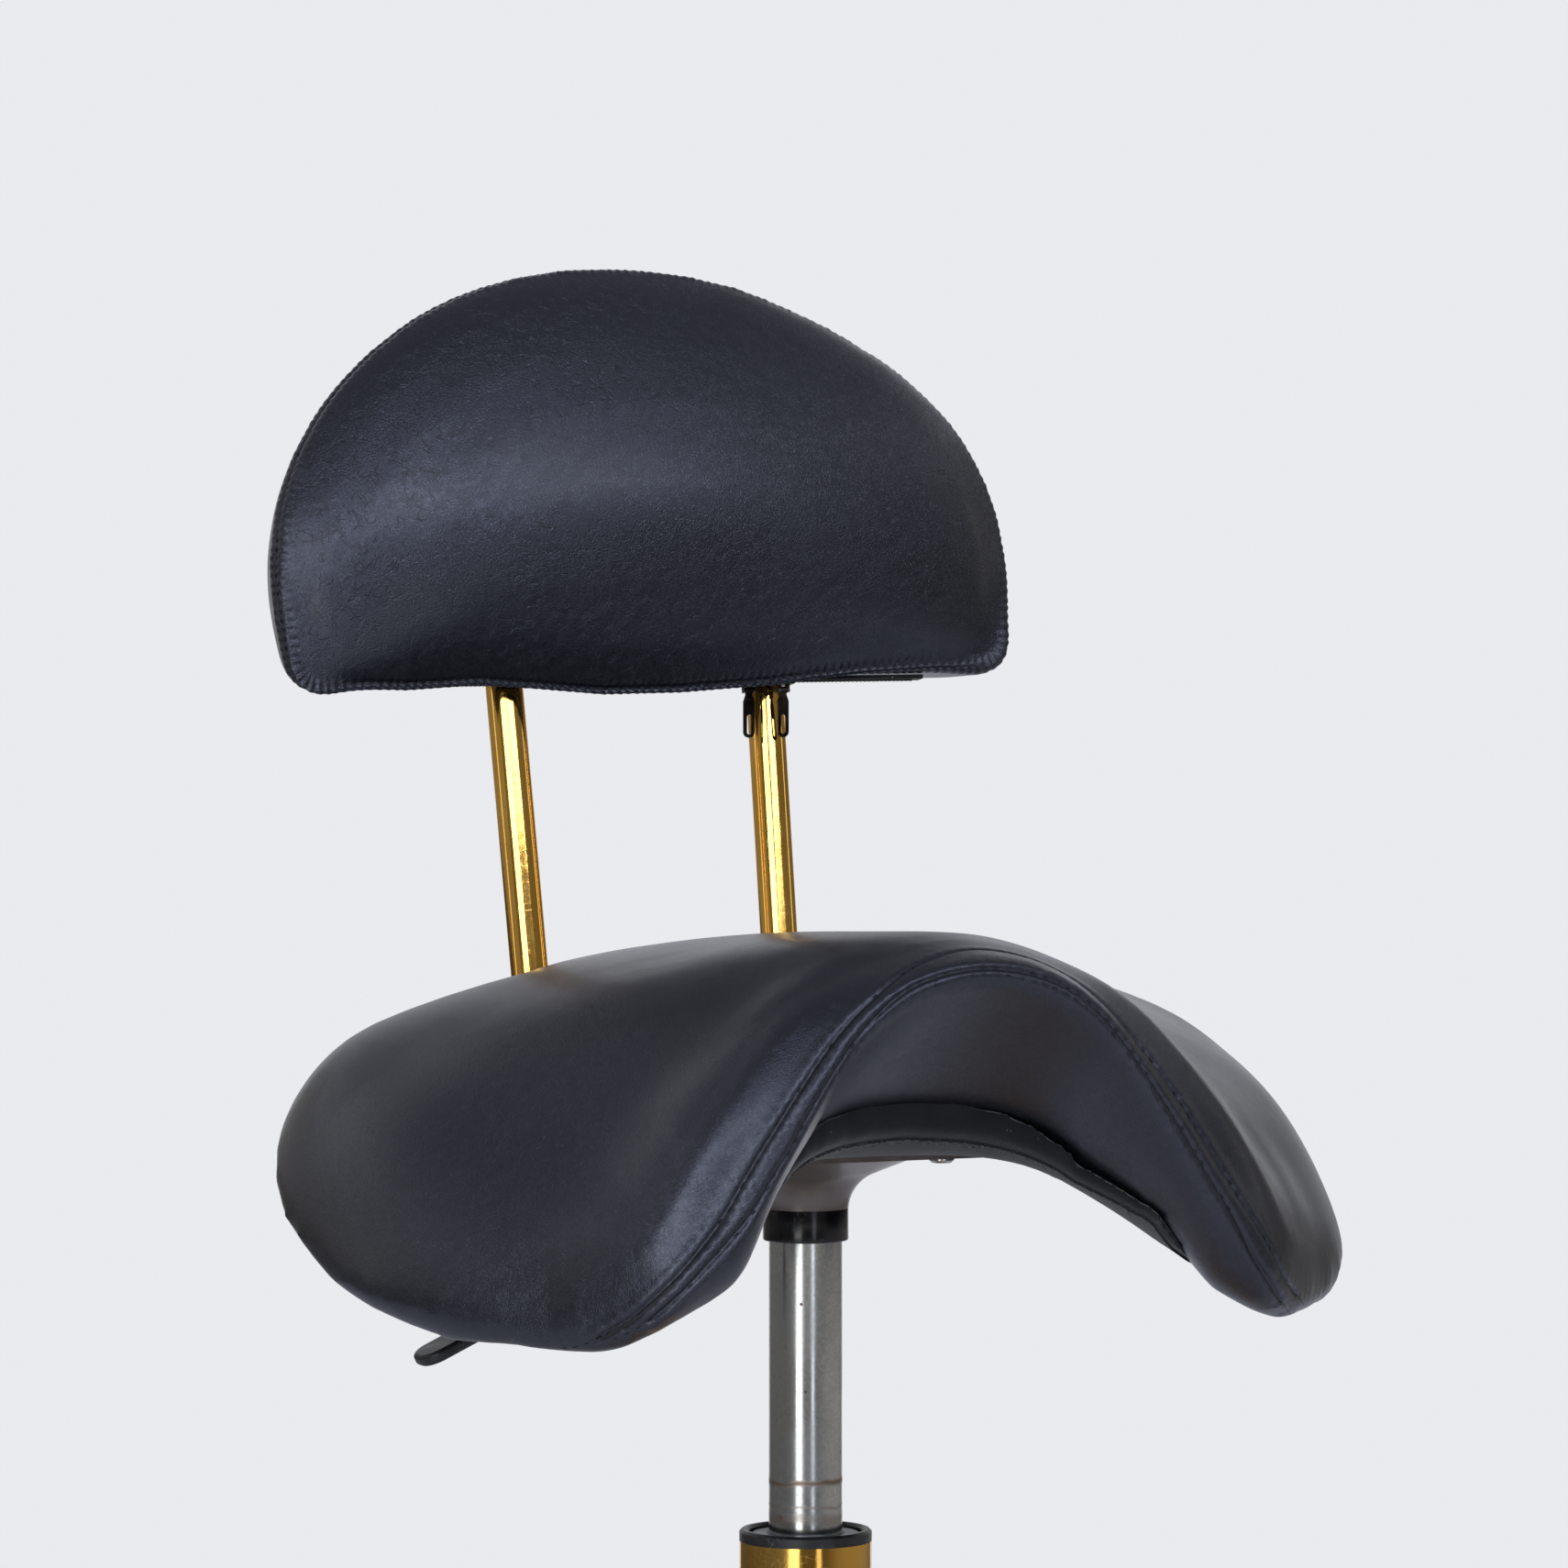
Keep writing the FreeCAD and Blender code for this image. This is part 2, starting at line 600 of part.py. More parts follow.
def rod_clip():
    # Open spring clip on the rod's neck, just under the column's floor.
    top = COLUMN_BOTTOM - LOOSE_GAP
    clip = turned([
        (ROD_NECK_RADIUS, top - CLIP_THICKNESS),
        (CLIP_RADIUS, top - CLIP_THICKNESS),
        (CLIP_RADIUS, top),
        (ROD_NECK_RADIUS, top),
    ])
    half = CLIP_SLOT / 2
    slot = block(0, CLIP_RADIUS + OVERRUN, -half, half, top - CLIP_THICKNESS - OVERRUN, top + OVERRUN)
    return clip.cut(slot)


def gas_cylinder():
    bore = CYLINDER_RADIUS - CYLINDER_WALL
    top_radius = CYLINDER_RADIUS - SOCKET_TAPER
    pin_room = PIN_RADIUS + RUN_GAP
    return turned([
        (ROD_RADIUS + RUN_GAP, CYLINDER_BOTTOM),
        (CYLINDER_RADIUS - CYLINDER_CHAMFER, CYLINDER_BOTTOM),
        (CYLINDER_RADIUS, CYLINDER_BOTTOM + CYLINDER_CHAMFER),
        (CYLINDER_RADIUS, COLLAR_BOTTOM),
        (top_radius, CYLINDER_TOP),
        (pin_room, CYLINDER_TOP),
        (pin_room, CYLINDER_TOP - CYLINDER_HEAD),
        (bore, CYLINDER_TOP - CYLINDER_HEAD),
        (bore, CYLINDER_BOTTOM + CYLINDER_GLAND),
        (ROD_RADIUS + RUN_GAP, CYLINDER_BOTTOM + CYLINDER_GLAND),
    ])


def release_pin():
    return turned([
        (0, PIN_TOP - PIN_LENGTH),
        (PIN_RADIUS, PIN_TOP - PIN_LENGTH),
        (PIN_RADIUS, PIN_TOP - PIN_EDGE),
        (PIN_RADIUS - PIN_EDGE, PIN_TOP),
        (0, PIN_TOP),
    ])


# Seat mechanism
def lever_room():
    # The slot in which the lever rocks, open to the sitter's right and up to the seat plate.
    half = LEVER_ROD_RADIUS + LEVER_SIDE_GAP
    low = LEVER_LEVEL - LEVER_ROD_RADIUS - LEVER_DROP_GAP
    inner = LEVER_TIP_REACH + LEVER_SIDE_GAP
    return block(-CONE_RIM_RADIUS - OVERRUN, inner, -half, half, low, PLATE_BOTTOM + OVERRUN)


def pivot_hole(radius):
    half = LEVER_ROD_RADIUS + LEVER_SIDE_GAP + LUG_WALL
    return Part.makeCylinder(radius, 2 * half, Vector(-PIVOT_REACH, -half, LEVER_LEVEL), BACK)


def socket_cone():
    # Trumpet-shaped seat carrier: tapered socket for the gas lift, groove, flared rim and lever lug.
    neck_top = COLLAR_TOP + GROOVE_HEIGHT
    rim_low = PLATE_BOTTOM - CONE_RIM_HEIGHT
    socket_low = COLLAR_BOTTOM + SOCKET_LIP
    top_radius = CYLINDER_RADIUS - SOCKET_TAPER
    taper_share = (CYLINDER_TOP - socket_low) / (CYLINDER_TOP - COLLAR_BOTTOM)
    low_radius = top_radius + SOCKET_TAPER * taper_share
    cavity_top = PLATE_BOTTOM - CONE_CAVITY_ROOF
    flare_way = Vector(1, 0, CONE_RIM_RISE_SHARE).normalize()
    corners = [
        Vector(CONE_RIM_RADIUS, 0, rim_low),
        Vector(CONE_RIM_RADIUS, 0, PLATE_BOTTOM),
        Vector(0, 0, PLATE_BOTTOM),
        Vector(0, 0, cavity_top),
        Vector(CONE_CAVITY_RADIUS, 0, cavity_top),
        Vector(CONE_CAVITY_RADIUS, 0, CYLINDER_TOP),
        Vector(top_radius, 0, CYLINDER_TOP),
        Vector(low_radius, 0, socket_low),
        Vector(SOCKET_RADIUS, 0, socket_low),
        Vector(SOCKET_RADIUS, 0, COLLAR_TOP),
        Vector(GROOVE_RADIUS, 0, COLLAR_TOP),
        Vector(GROOVE_RADIUS, 0, neck_top),
        Vector(CONE_NECK_RADIUS, 0, neck_top),
    ]
    edges = [line(start, end) for start, end in zip(corners, corners[1:])]
    edges += circular(biarc(corners[-1], UP, corners[0], flare_way))
    cone = Part.Face(Part.Wire(Part.__sortEdges__(edges))).revolve(Vector(0, 0, 0), UP, FULL_TURN)
    half = LEVER_ROD_RADIUS + LEVER_SIDE_GAP + LUG_WALL
    lug = block(-LUG_OUTER, -LUG_INNER, -half, half, PLATE_BOTTOM - LUG_DEPTH, PLATE_BOTTOM)
    return fused([cone, lug]).cut(lever_room()).cut(pivot_hole(PIVOT_RADIUS))


def socket_collar():
    return turned([
        (SOCKET_RADIUS, COLLAR_BOTTOM + SOCKET_LIP),
        (CYLINDER_RADIUS + RUN_GAP, COLLAR_BOTTOM + SOCKET_LIP),
        (CYLINDER_RADIUS + RUN_GAP, COLLAR_BOTTOM),
        (COLLAR_RADIUS - COLLAR_EDGE, COLLAR_BOTTOM),
        (COLLAR_RADIUS, COLLAR_BOTTOM + COLLAR_EDGE),
        (COLLAR_RADIUS, COLLAR_TOP - COLLAR_EDGE),
        (COLLAR_RADIUS - COLLAR_EDGE / 2, COLLAR_TOP),
        (SOCKET_RADIUS, COLLAR_TOP),
    ])


def plate_bolt_places():
    # Under the head of each bolt of the seat plate.
    half = PAN_BOLT_PITCH / 2
    return [Vector(x, y, PLATE_BOTTOM) for x in (-half, half) for y in (-half, half)]


def strap_places():
    # Side of each strap and the middle of its width along the post.
    middle = STRAP_FIRST + STRAP_WIDTH / 2
    return [(side, middle + index * STRAP_PITCH) for side in (-1, 1) for index in (0, 1)]


def strap_bolt_places():
    # Under the head of each bolt of the post straps.
    inward = POST_RADIUS + STRAP_WALL + STRAP_EAR / 2
    level = PAN_FLOOR - BRACKET_PLATE - STRAP_WALL
    return [Vector(side * (POST_HALF_SPACING - inward), along, level) for side, along in strap_places()]


def pan_bolt_shanks():
    shanks = []
    for place in plate_bolt_places() + strap_bolt_places():
        shanks.append(Part.makeCylinder(PAN_BOLT_RADIUS, PAN_BOLT_LENGTH, place))
    return Part.makeCompound(shanks)


def seat_plate():
    half = SEAT_PLATE_SIZE / 2
    plate = rounded_block(-half, half, -half, half, PLATE_BOTTOM, PAN_FLOOR, SEAT_PLATE_CORNER)
    return plate.cut(pan_bolt_shanks())


def pan_bolts():
    # Button-head bolts of one size for the seat plate and for the post straps.
    bolts = []
    for place in plate_bolt_places() + strap_bolt_places():
        bolt = turned([
            (0, -PAN_BOLT_HEAD_HEIGHT),
            (PAN_BOLT_HEAD_RADIUS - PAN_BOLT_EDGE, -PAN_BOLT_HEAD_HEIGHT),
            (PAN_BOLT_HEAD_RADIUS, PAN_BOLT_EDGE - PAN_BOLT_HEAD_HEIGHT),
            (PAN_BOLT_HEAD_RADIUS, 0),
            (PAN_BOLT_RADIUS, 0),
            (PAN_BOLT_RADIUS, PAN_BOLT_LENGTH),
            (0, PAN_BOLT_LENGTH),
        ])
        bolt.translate(place)
        bolts.append(bolt)
    return Part.makeCompound(bolts)


# Height lever
def bent_tube(radius, start, first_way, first_length, normal, bend_radius, turn, last_length):
    # A round bar along a straight run, a bend and a second run.
    straight = Part.makeCylinder(radius, first_length, start, first_way)
    corner = start + first_way * first_length
    inward = normal.cross(first_way)
    centre = corner + inward * bend_radius
    face = Part.Face(Part.Wire(Part.makeCircle(radius, corner, first_way)))
    bend = face.revolve(centre, normal, turn)
    spin = FreeCAD.Rotation(normal, turn)
    last_start = centre + spin.multVec(inward * -bend_radius)
    last_way = spin.multVec(first_way)
    last = Part.makeCylinder(radius, last_length, last_start, last_way)
    return fused([straight, bend, last]), last_start + last_way * last_length, last_way


def lever_rod_and_end():
    start = Vector(LEVER_TIP_REACH, 0, LEVER_LEVEL)
    length = LEVER_TIP_REACH + LEVER_BEND_START
    rod, end, way = bent_tube(
        LEVER_ROD_RADIUS, start, RIGHT * -1, length, BACK * -1, LEVER_BEND_RADIUS, LEVER_BEND_ANGLE, LEVER_RUN
    )
    return rod.cut(pivot_hole(PIVOT_RADIUS + RUN_GAP)), end, way


def lever_paddle():
    # Flat rounded blade with a socket for the rod's end.
    rod, end, way = lever_rod_and_end()
    half = PADDLE_WIDTH / 2
    blade = rounded_block(
        -PADDLE_LENGTH, 0, -half, half, -PADDLE_THICKNESS / 2, PADDLE_THICKNESS / 2, half - PADDLE_EDGE
    )
    blade = blade.makeFillet(PADDLE_EDGE, [edge for edge in blade.Edges if edge.BoundBox.ZLength < PADDLE_EDGE])
    blade.translate(Vector(PADDLE_OVERLAP, 0, 0))
    blade.rotate(Vector(0, 0, 0), BACK, -PADDLE_ANGLE)
    blade.translate(end)
    boss = Part.makeCylinder(PADDLE_BOSS_RADIUS, PADDLE_BOSS_LENGTH, end - way * (PADDLE_BOSS_LENGTH - PADDLE_BOSS_RADIUS), way)
    return fused([blade, boss]).cut(rod)


# Saddle shape. Each row of shares gives one station across the seat: its place along the
# front or rear reach, then the drop of the crest, three points over the flank, the edge,
# the lip, two points under the flank and the middle of the underside. A pair is
# (out to the side as a share of the half width, down as a share of the drop).
FRONT_STATION_SHARES = [
    (1.000, 0.055, (0.187, 0.120), (0.345, 0.367), (0.479, 0.634), (0.574, 0.794),
     (0.555, 0.834), (0.455, 0.687), (0.250, 0.247), 0.092),
    (0.964, 0.027, (0.187, 0.100), (0.345, 0.334), (0.488, 0.620), (0.608, 0.840),
     (0.576, 0.894), (0.455, 0.754), (0.260, 0.307), 0.122),
    (0.861, 0.008, (0.201, 0.080), (0.383, 0.320), (0.565, 0.647), (0.670, 0.874),
     (0.632, 0.967), (0.478, 0.860), (0.270, 0.447), 0.200),
    (0.723, 0.000, (0.215, 0.064), (0.455, 0.314), (0.650, 0.647), (0.760, 0.894),
     (0.711, 0.980), (0.541, 0.887), (0.283, 0.554), 0.320),
    (0.554, 0.006, (0.239, 0.057), (0.536, 0.314), (0.756, 0.647), (0.862, 0.867),
     (0.804, 0.967), (0.598, 0.847), (0.290, 0.562), 0.442),
    (0.301, 0.024, (0.263, 0.070), (0.622, 0.284), (0.847, 0.527), (0.952, 0.800),
     (0.893, 0.887), (0.670, 0.777), (0.290, 0.524), 0.480),
    (0.000, 0.045, (0.287, 0.090), (0.660, 0.250), (0.876, 0.434), (0.983, 0.660),
     (0.935, 0.767), (0.694, 0.687), (0.290, 0.510), 0.480),
]
REAR_STATION_SHARES = [
    (0.303, 0.067, (0.287, 0.104), (0.640, 0.220), (0.847, 0.364), (0.947, 0.600),
     (0.900, 0.707), (0.670, 0.637), (0.280, 0.504), 0.480),
    (0.591, 0.096, (0.278, 0.130), (0.560, 0.237), (0.740, 0.360), (0.847, 0.547),
     (0.800, 0.660), (0.574, 0.607), (0.263, 0.500), 0.480),
    (0.780, 0.127, (0.244, 0.150), (0.450, 0.230), (0.611, 0.347), (0.706, 0.507),
     (0.665, 0.614), (0.469, 0.587), (0.215, 0.500), 0.480),
    (0.909, 0.194, (0.191, 0.214), (0.340, 0.270), (0.464, 0.354), (0.538, 0.480),
     (0.502, 0.580), (0.345, 0.567), (0.158, 0.500), 0.487),
    (0.970, 0.287, (0.134, 0.294), (0.239, 0.320), (0.335, 0.374), (0.392, 0.460),
     (0.359, 0.534), (0.239, 0.547), (0.110, 0.510), 0.502),
    (1.000, 0.374, (0.081, 0.377), (0.144, 0.394), (0.201, 0.420), (0.239, 0.454),
     (0.215, 0.494), (0.144, 0.507), (0.067, 0.499), 0.494),
]


def seat_stations():
    rows = [(-row[0] * SEAT_FRONT, row[1:]) for row in FRONT_STATION_SHARES]
    rows += [(row[0] * SEAT_REAR, row[1:]) for row in REAR_STATION_SHARES]
    return rows


def seat_point(pair, along):
    return Vector(pair[0] * SEAT_HALF_WIDTH, along, SEAT_CREST - pair[1] * SEAT_DROP)


def over_curve(along, shares):
    # The upper outline at one station, from the crest to the right edge, in tangent arcs.
    pairs = [(0, shares[0])] + list(shares[1:6])
    points = [seat_point(pair, along) for pair in pairs]
    ways = [RIGHT]
    for before, after in zip(points, points[2:]):
        ways.append((after - before).normalize())
    edges = []
    for index in range(len(ways) - 1):
        edges += biarc(points[index], ways[index], points[index + 1], ways[index + 1])
    return edges, points[-2], points[-1]


def under_points(along, shares, drops):
    # Three points of the right underside at one station, each lowered by its own drop.
    pairs = [shares[6], shares[7], (0, shares[8])]
    return [seat_point(pair, along) - UP * drop for pair, drop in zip(pairs, drops)]


def under_curve(points):
    flank, shoulder, middle = points
    return [line(flank, shoulder), tangent_arc(middle, RIGHT, shoulder, True)]


def closed_symmetric(edges):
    # A closed wire from its right half and the mirror image of that half.
    left = [edge.mirror(Vector(0, 0, 0), RIGHT) for edge in edges]
    return Part.Wire(Part.__sortEdges__(edges + left))


def seat_section(along, shares):
    edges, edge_point, lip = over_curve(along, shares)
    points = under_points(along, shares, (0, 0, 0))
    edges += [line(edge_point, lip), line(lip, points[0])]
    edges += under_curve(points)
    return closed_symmetric(edges)


def smooth_loft(wires):
    return Part.makeLoft(wires, True, False)


def pan_band(top_drops, low_drops):
    # A shell that follows the seat's underside from front to rear.
    wires = []
    for along, shares in seat_stations():
        top = under_points(along, shares, top_drops)
        low = under_points(along, shares, low_drops)
        edges = under_curve(top) + under_curve(low) + [line(top[0], low[0])]
        wires.append(closed_symmetric(edges))
    return smooth_loft(wires)


def pan_outline(inset):
    # Seen from above: hollow in front where the hem sweeps back, straight across the rear.
    rear = SEAT_REAR - PAN_REAR_INSET - inset
    side = SEAT_HALF_WIDTH + inset
    tip = Vector(HEM_TIP_X, -HEM_TIP_REACH + inset, 0)
    corner = Vector(HEM_CORNER_X, -HEM_CORNER_REACH + inset, 0)
    middle = Vector(0, -HEM_CENTRE_REACH + inset, 0)
    points = [Vector(0, rear, 0), Vector(side, rear, 0), Vector(side, tip.y, 0), tip, corner]
    edges = [line(start, end) for start, end in zip(points, points[1:])]
    edges.append(tangent_arc(middle, RIGHT, corner))
    face = Part.Face(closed_symmetric(edges))
    face.translate(UP * (SEAT_CREST - 2 * SEAT_DROP))
    return face.extrude(UP * 2 * SEAT_DROP)


def pan_low_drops():
    return [
        SOFT_GAP + PAN_EDGE_THICKNESS,
        SOFT_GAP + PAN_SHOULDER_THICKNESS,
        SOFT_GAP + PAN_CREST_THICKNESS,
    ]


def pan_boss(floor_z, height, margin):
    half = PAN_BOSS_HALF_WIDTH + margin
    return block(-half, half, -PAN_BOSS_FRONT - margin, PAN_BOSS_REAR + margin, floor_z, floor_z + height)


def seat_pan():
    # Moulded board with a flat seat below for the seat plate and the post bracket.
    shell = pan_band([SOFT_GAP] * 3, pan_low_drops()).common(pan_outline(0))
    shell = fused([shell, pan_boss(PAN_FLOOR, PAN_BOSS_HEIGHT, 0)])
    below = pan_boss(PAN_FLOOR - SEAT_DROP, SEAT_DROP, 0)
    return shell.cut(below).cut(pan_bolt_shanks())


def dust_cover():
    # Thin cloth under the board, open round the flat seat.
    low = [drop + SOFT_GAP for drop in pan_low_drops()]
    sheet = pan_band(low, [drop + DUST_COVER_THICKNESS for drop in low])
    opening = pan_boss(PAN_FLOOR - SEAT_DROP, 2 * SEAT_DROP, SOFT_GAP)
    return sheet.common(pan_outline(DUST_COVER_INSET)).cut(opening)


def seat_cushion():
    return smooth_loft([seat_section(along, shares) for along, shares in seat_stations()])


# Backrest posts and their bracket
def post_shape(side, radius, wall=0.0):
    # A bent tube: level run under the seat, tight bend, long run leaning back and out.
    bend_turn = RIGHT_ANGLE - POST_LEAN_ANGLE
    tangent_length = POST_BEND_RADIUS * math.tan(math.radians(bend_turn / 2))
    start = Vector(side * POST_HALF_SPACING, POST_RUN_START, POST_RUN_LEVEL)
    run = POST_FOOT_REACH - tangent_length - POST_RUN_START
    rise = POST_LENGTH - tangent_length
    shape = bent_tube(radius, start, BACK, run, RIGHT, POST_BEND_RADIUS, bend_turn, rise)[0]
    if wall:
        shape = shape.cut(bent_tube(radius - wall, start, BACK, run, RIGHT, POST_BEND_RADIUS, bend_turn, rise)[0])
    shape.rotate(start, BACK, side * POST_SPLAY_ANGLE)
    return shape


def bracket_plate():
    plate = rounded_block(
        -BRACKET_HALF_WIDTH, BRACKET_HALF_WIDTH, BRACKET_FRONT, BRACKET_REAR,
        PAN_FLOOR - BRACKET_PLATE, PAN_FLOOR, BRACKET_CORNER
    )
    return plate.cut(pan_bolt_shanks())


def post_straps():
    # Pressed straps that hold the level runs up against the bracket plate.
    straps = []
    ceiling = PAN_FLOOR - BRACKET_PLATE
    half = STRAP_WIDTH / 2
    outer = POST_RADIUS + STRAP_WALL
    for side, along in strap_places():
        centre = side * POST_HALF_SPACING
        start = Vector(centre, along - half, POST_RUN_LEVEL)
        band = Part.makeCylinder(outer, STRAP_WIDTH, start, BACK)
        band = band.fuse(block(centre - outer, centre + outer, along - half, along + half, POST_RUN_LEVEL, ceiling))
        room = Part.makeCylinder(POST_RADIUS, STRAP_WIDTH, start, BACK)
        room = room.fuse(block(
            centre - POST_RADIUS, centre + POST_RADIUS, along - half, along + half, POST_RUN_LEVEL, ceiling
        ))
        above = block(centre - 2 * outer, centre + 2 * outer, along - half, along + half, ceiling, ceiling + outer)
        room = room.fuse(above)
        ear_edge = side * (POST_HALF_SPACING - outer - STRAP_EAR)
        ear_root = side * (POST_HALF_SPACING - POST_RADIUS)
        low_x, high_x = sorted([ear_edge, ear_root])
        ear = block(low_x, high_x, along - half, along + half, ceiling - STRAP_WALL, ceiling)
        straps.append(fused([band, ear]).cut(room).cut(pan_bolt_shanks()))
    return Part.makeCompound(straps)


# Backrest. It is drawn upright round the post plane, with its bottom at height zero,
# then leaned back and set on the posts.
def leaned(shape):
    copy = shape.copy()
    copy.rotate(Vector(0, 0, 0), RIGHT, -POST_LEAN_ANGLE)
    copy.translate(Vector(0, BACK_PLANE_REACH, BACK_BOTTOM))
    return copy


def straightened(shape):
    copy = shape.copy()
    copy.translate(Vector(0, -BACK_PLANE_REACH, -BACK_BOTTOM))
    copy.rotate(Vector(0, 0, 0), RIGHT, POST_LEAN_ANGLE)
    return copy


def back_outline(forward, inset, lift):
    # Half-moon outline: flat bottom, rounded lower corners and a high round top.
    base = Vector(BACK_BASE_HALF_WIDTH - inset, -forward, lift)
    middle = Vector(0, -forward, lift)
    widest = Vector(BACK_HALF_WIDTH - inset, -forward, BACK_WIDEST_RISE)
    top = Vector(0, -forward, BACK_HEIGHT - inset)
    edges = [line(middle, base)]
    edges += biarc(base, RIGHT, widest, UP)
    edges += biarc(widest, UP, top, RIGHT * -1)
    return closed_symmetric(edges)


# Each row: place from the rear face to the front as a share of the rear or front depth, then
# how far the outline is drawn in and its bottom lifted, as shares of the front depth.
BACK_STATION_SHARES = [
    (-1.000, 0.420, 0.150),
    (-0.720, 0.250, 0.060),
    (0.000, 0.110, 0.010),
    (0.420, 0.000, 0.000),
    (0.570, 0.030, 0.005),
    (0.700, 0.140, 0.050),
    (0.820, 0.370, 0.150),
    (0.915, 0.780, 0.330),
    (0.975, 1.350, 0.520),
    (1.000, 2.050, 0.680),
]


def back_cushion_body():
    wires = []
    for place_share, inset_share, lift_share in BACK_STATION_SHARES:
        depth = BACK_FRONT_DEPTH if place_share > 0 else BACK_REAR_DEPTH
        inset = inset_share * BACK_FRONT_DEPTH
        wires.append(back_outline(place_share * depth, inset, lift_share * BACK_FRONT_DEPTH))
    return Part.makeLoft(wires, True, True)


def back_board_body(margin):
    inset = BOARD_INSET - margin
    front = BOARD_FRONT + margin
    face = Part.Face(back_outline(front, inset, inset))
    return face.extrude(BACK * (BOARD_THICKNESS + 2 * margin))


def back_screw_places():
    # Each screw stands behind a post, square to the board.
    places = []
    for side in (-1, 1):
        for rise in (BACK_SCREW_LOW, BACK_SCREW_HIGH):
            spread = (BACK_BOTTOM - POST_RUN_LEVEL + rise) * math.tan(math.radians(POST_SPLAY_ANGLE))
            places.append(Vector(side * (POST_HALF_SPACING + spread), 0, rise))
    return places


def back_screw_bodies(margin, head=True):
    screws = []
    shank = 2 * POST_RADIUS + BOARD_THICKNESS / 2 + margin
    for place in back_screw_places():
        start = place + BACK * POST_RADIUS
        screw = Part.makeCylinder(SCREW_RADIUS + margin, shank, start, BACK * -1)
        if head:
            height = SCREW_HEAD_HEIGHT + margin
            screw = screw.fuse(Part.makeCylinder(SCREW_HEAD_RADIUS + margin, height, start, BACK))
        screws.append(screw.removeSplitter())
    return screws


def back_screws():
    return Part.makeCompound([leaned(screw) for screw in back_screw_bodies(0)])


def drilled(shape):
    for screw in back_screw_bodies(0, False):
        shape = shape.cut(leaned(screw))
    return shape


def back_board():
    return drilled(leaned(back_board_body(0)))


def back_cushion():
    # Covered foam with its crown, drawn-in sides and the pockets for board, posts and screws.
    body = back_cushion_body().cut(back_board_body(SOFT_GAP))
    for screw in back_screw_bodies(SOFT_GAP):
        body = body.cut(screw)
    for side in (-1, 1):
        body = body.cut(straightened(post_shape(side, POST_RADIUS + SOFT_GAP)))
    return leaned(body)


# Zip along the bottom of the backrest
def zip_strip():
    half = ZIP_WIDTH / 2
    return leaned(block(
        -ZIP_HALF_LENGTH, ZIP_HALF_LENGTH, -ZIP_FORWARD - half, -ZIP_FORWARD + half, ZIP_BOTTOM, -SOFT_GAP
    ))


def slider_x(side):
    return SLIDER_CENTRE + side * SLIDER_SPREAD


def zip_slider(side):
    # A channel that rides on the zip, with two ears and the pin of its pull.
    centre = slider_x(side)
    half_length = SLIDER_LENGTH / 2
    half_width = SLIDER_WIDTH / 2
    room_half = ZIP_WIDTH / 2 + RUN_GAP
    low_y = -ZIP_FORWARD - half_width
    body = block(centre - half_length, centre + half_length, low_y, low_y + SLIDER_WIDTH, SLIDER_BOTTOM, -LOOSE_GAP)
    room = block(
        centre - SLIDER_LENGTH, centre + SLIDER_LENGTH, -ZIP_FORWARD - room_half, -ZIP_FORWARD + room_half,
        ZIP_BOTTOM - RUN_GAP, OVERRUN
    )
    ear_start = PULL_NECK_WIDTH / 2 + RUN_GAP * 2
    ears = []
    for way in (-1, 1):
        low_x, high_x = sorted([centre + way * ear_start, centre + way * (ear_start + PULL_LUG_WIDTH)])
        ears.append(block(
            low_x, high_x, -ZIP_FORWARD - PULL_BARREL_RADIUS, -ZIP_FORWARD + PULL_BARREL_RADIUS,
            -PULL_AXIS_DROP - PULL_PIN_RADIUS * 1.5, SLIDER_BOTTOM
        ))
    reach = ear_start + PULL_LUG_WIDTH
    pin = Part.makeCylinder(PULL_PIN_RADIUS, 2 * reach, Vector(centre - reach, -ZIP_FORWARD, -PULL_AXIS_DROP), RIGHT)
    return leaned(fused([body.cut(room)] + ears + [pin]))


def zip_pull(side):
    # A flat tab with a rolled eye at the top and a slot near its round end, hanging upright.
    centre = slider_x(side)
    half_neck = PULL_NECK_WIDTH / 2
    half_width = PULL_WIDTH / 2
    half_thick = PULL_THICKNESS / 2
    axis = Vector(centre, -ZIP_FORWARD, -PULL_AXIS_DROP)
    barrel = Part.makeCylinder(PULL_BARREL_RADIUS, PULL_NECK_WIDTH, axis - RIGHT * half_neck, RIGHT)
    end_z = -PULL_AXIS_DROP - PULL_LENGTH
    round_z = end_z + half_width
    side_z = -PULL_AXIS_DROP - PULL_WIDTH
    right = [
        Vector(centre + half_neck, 0, -PULL_AXIS_DROP),
        Vector(centre + half_neck, 0, -PULL_AXIS_DROP - PULL_NECK_LENGTH),
        Vector(centre + half_width, 0, side_z),
        Vector(centre + half_width, 0, round_z),
    ]
    left = [Vector(2 * centre - point.x, 0, point.z) for point in reversed(right)]
    tip = Vector(centre, 0, end_z)
    edges = [line(start, end) for start, end in zip(right, right[1:])]
    edges.append(Part.Arc(right[-1], tip, left[0]).toShape())
    edges += [line(start, end) for start, end in zip(left, left[1:] + right[:1])]
    tab = Part.Face(Part.Wire(edges)).extrude(BACK * PULL_THICKNESS)
    tab.translate(BACK * (-ZIP_FORWARD - half_thick))
    slot_half = PULL_SLOT_WIDTH / 2
    slot_low = end_z + half_width - slot_half
    slot = rounded_slot(centre, slot_half, slot_low, slot_low + PULL_SLOT_LENGTH)
    pin_room = Part.makeCylinder(
        PULL_PIN_RADIUS + RUN_GAP, PULL_NECK_WIDTH + 2 * OVERRUN, axis - RIGHT * (half_neck + OVERRUN), RIGHT
    )
    pull = fused([barrel, tab]).cut(slot).cut(pin_room)
    pull.rotate(axis, RIGHT, POST_LEAN_ANGLE)
    return leaned(pull)


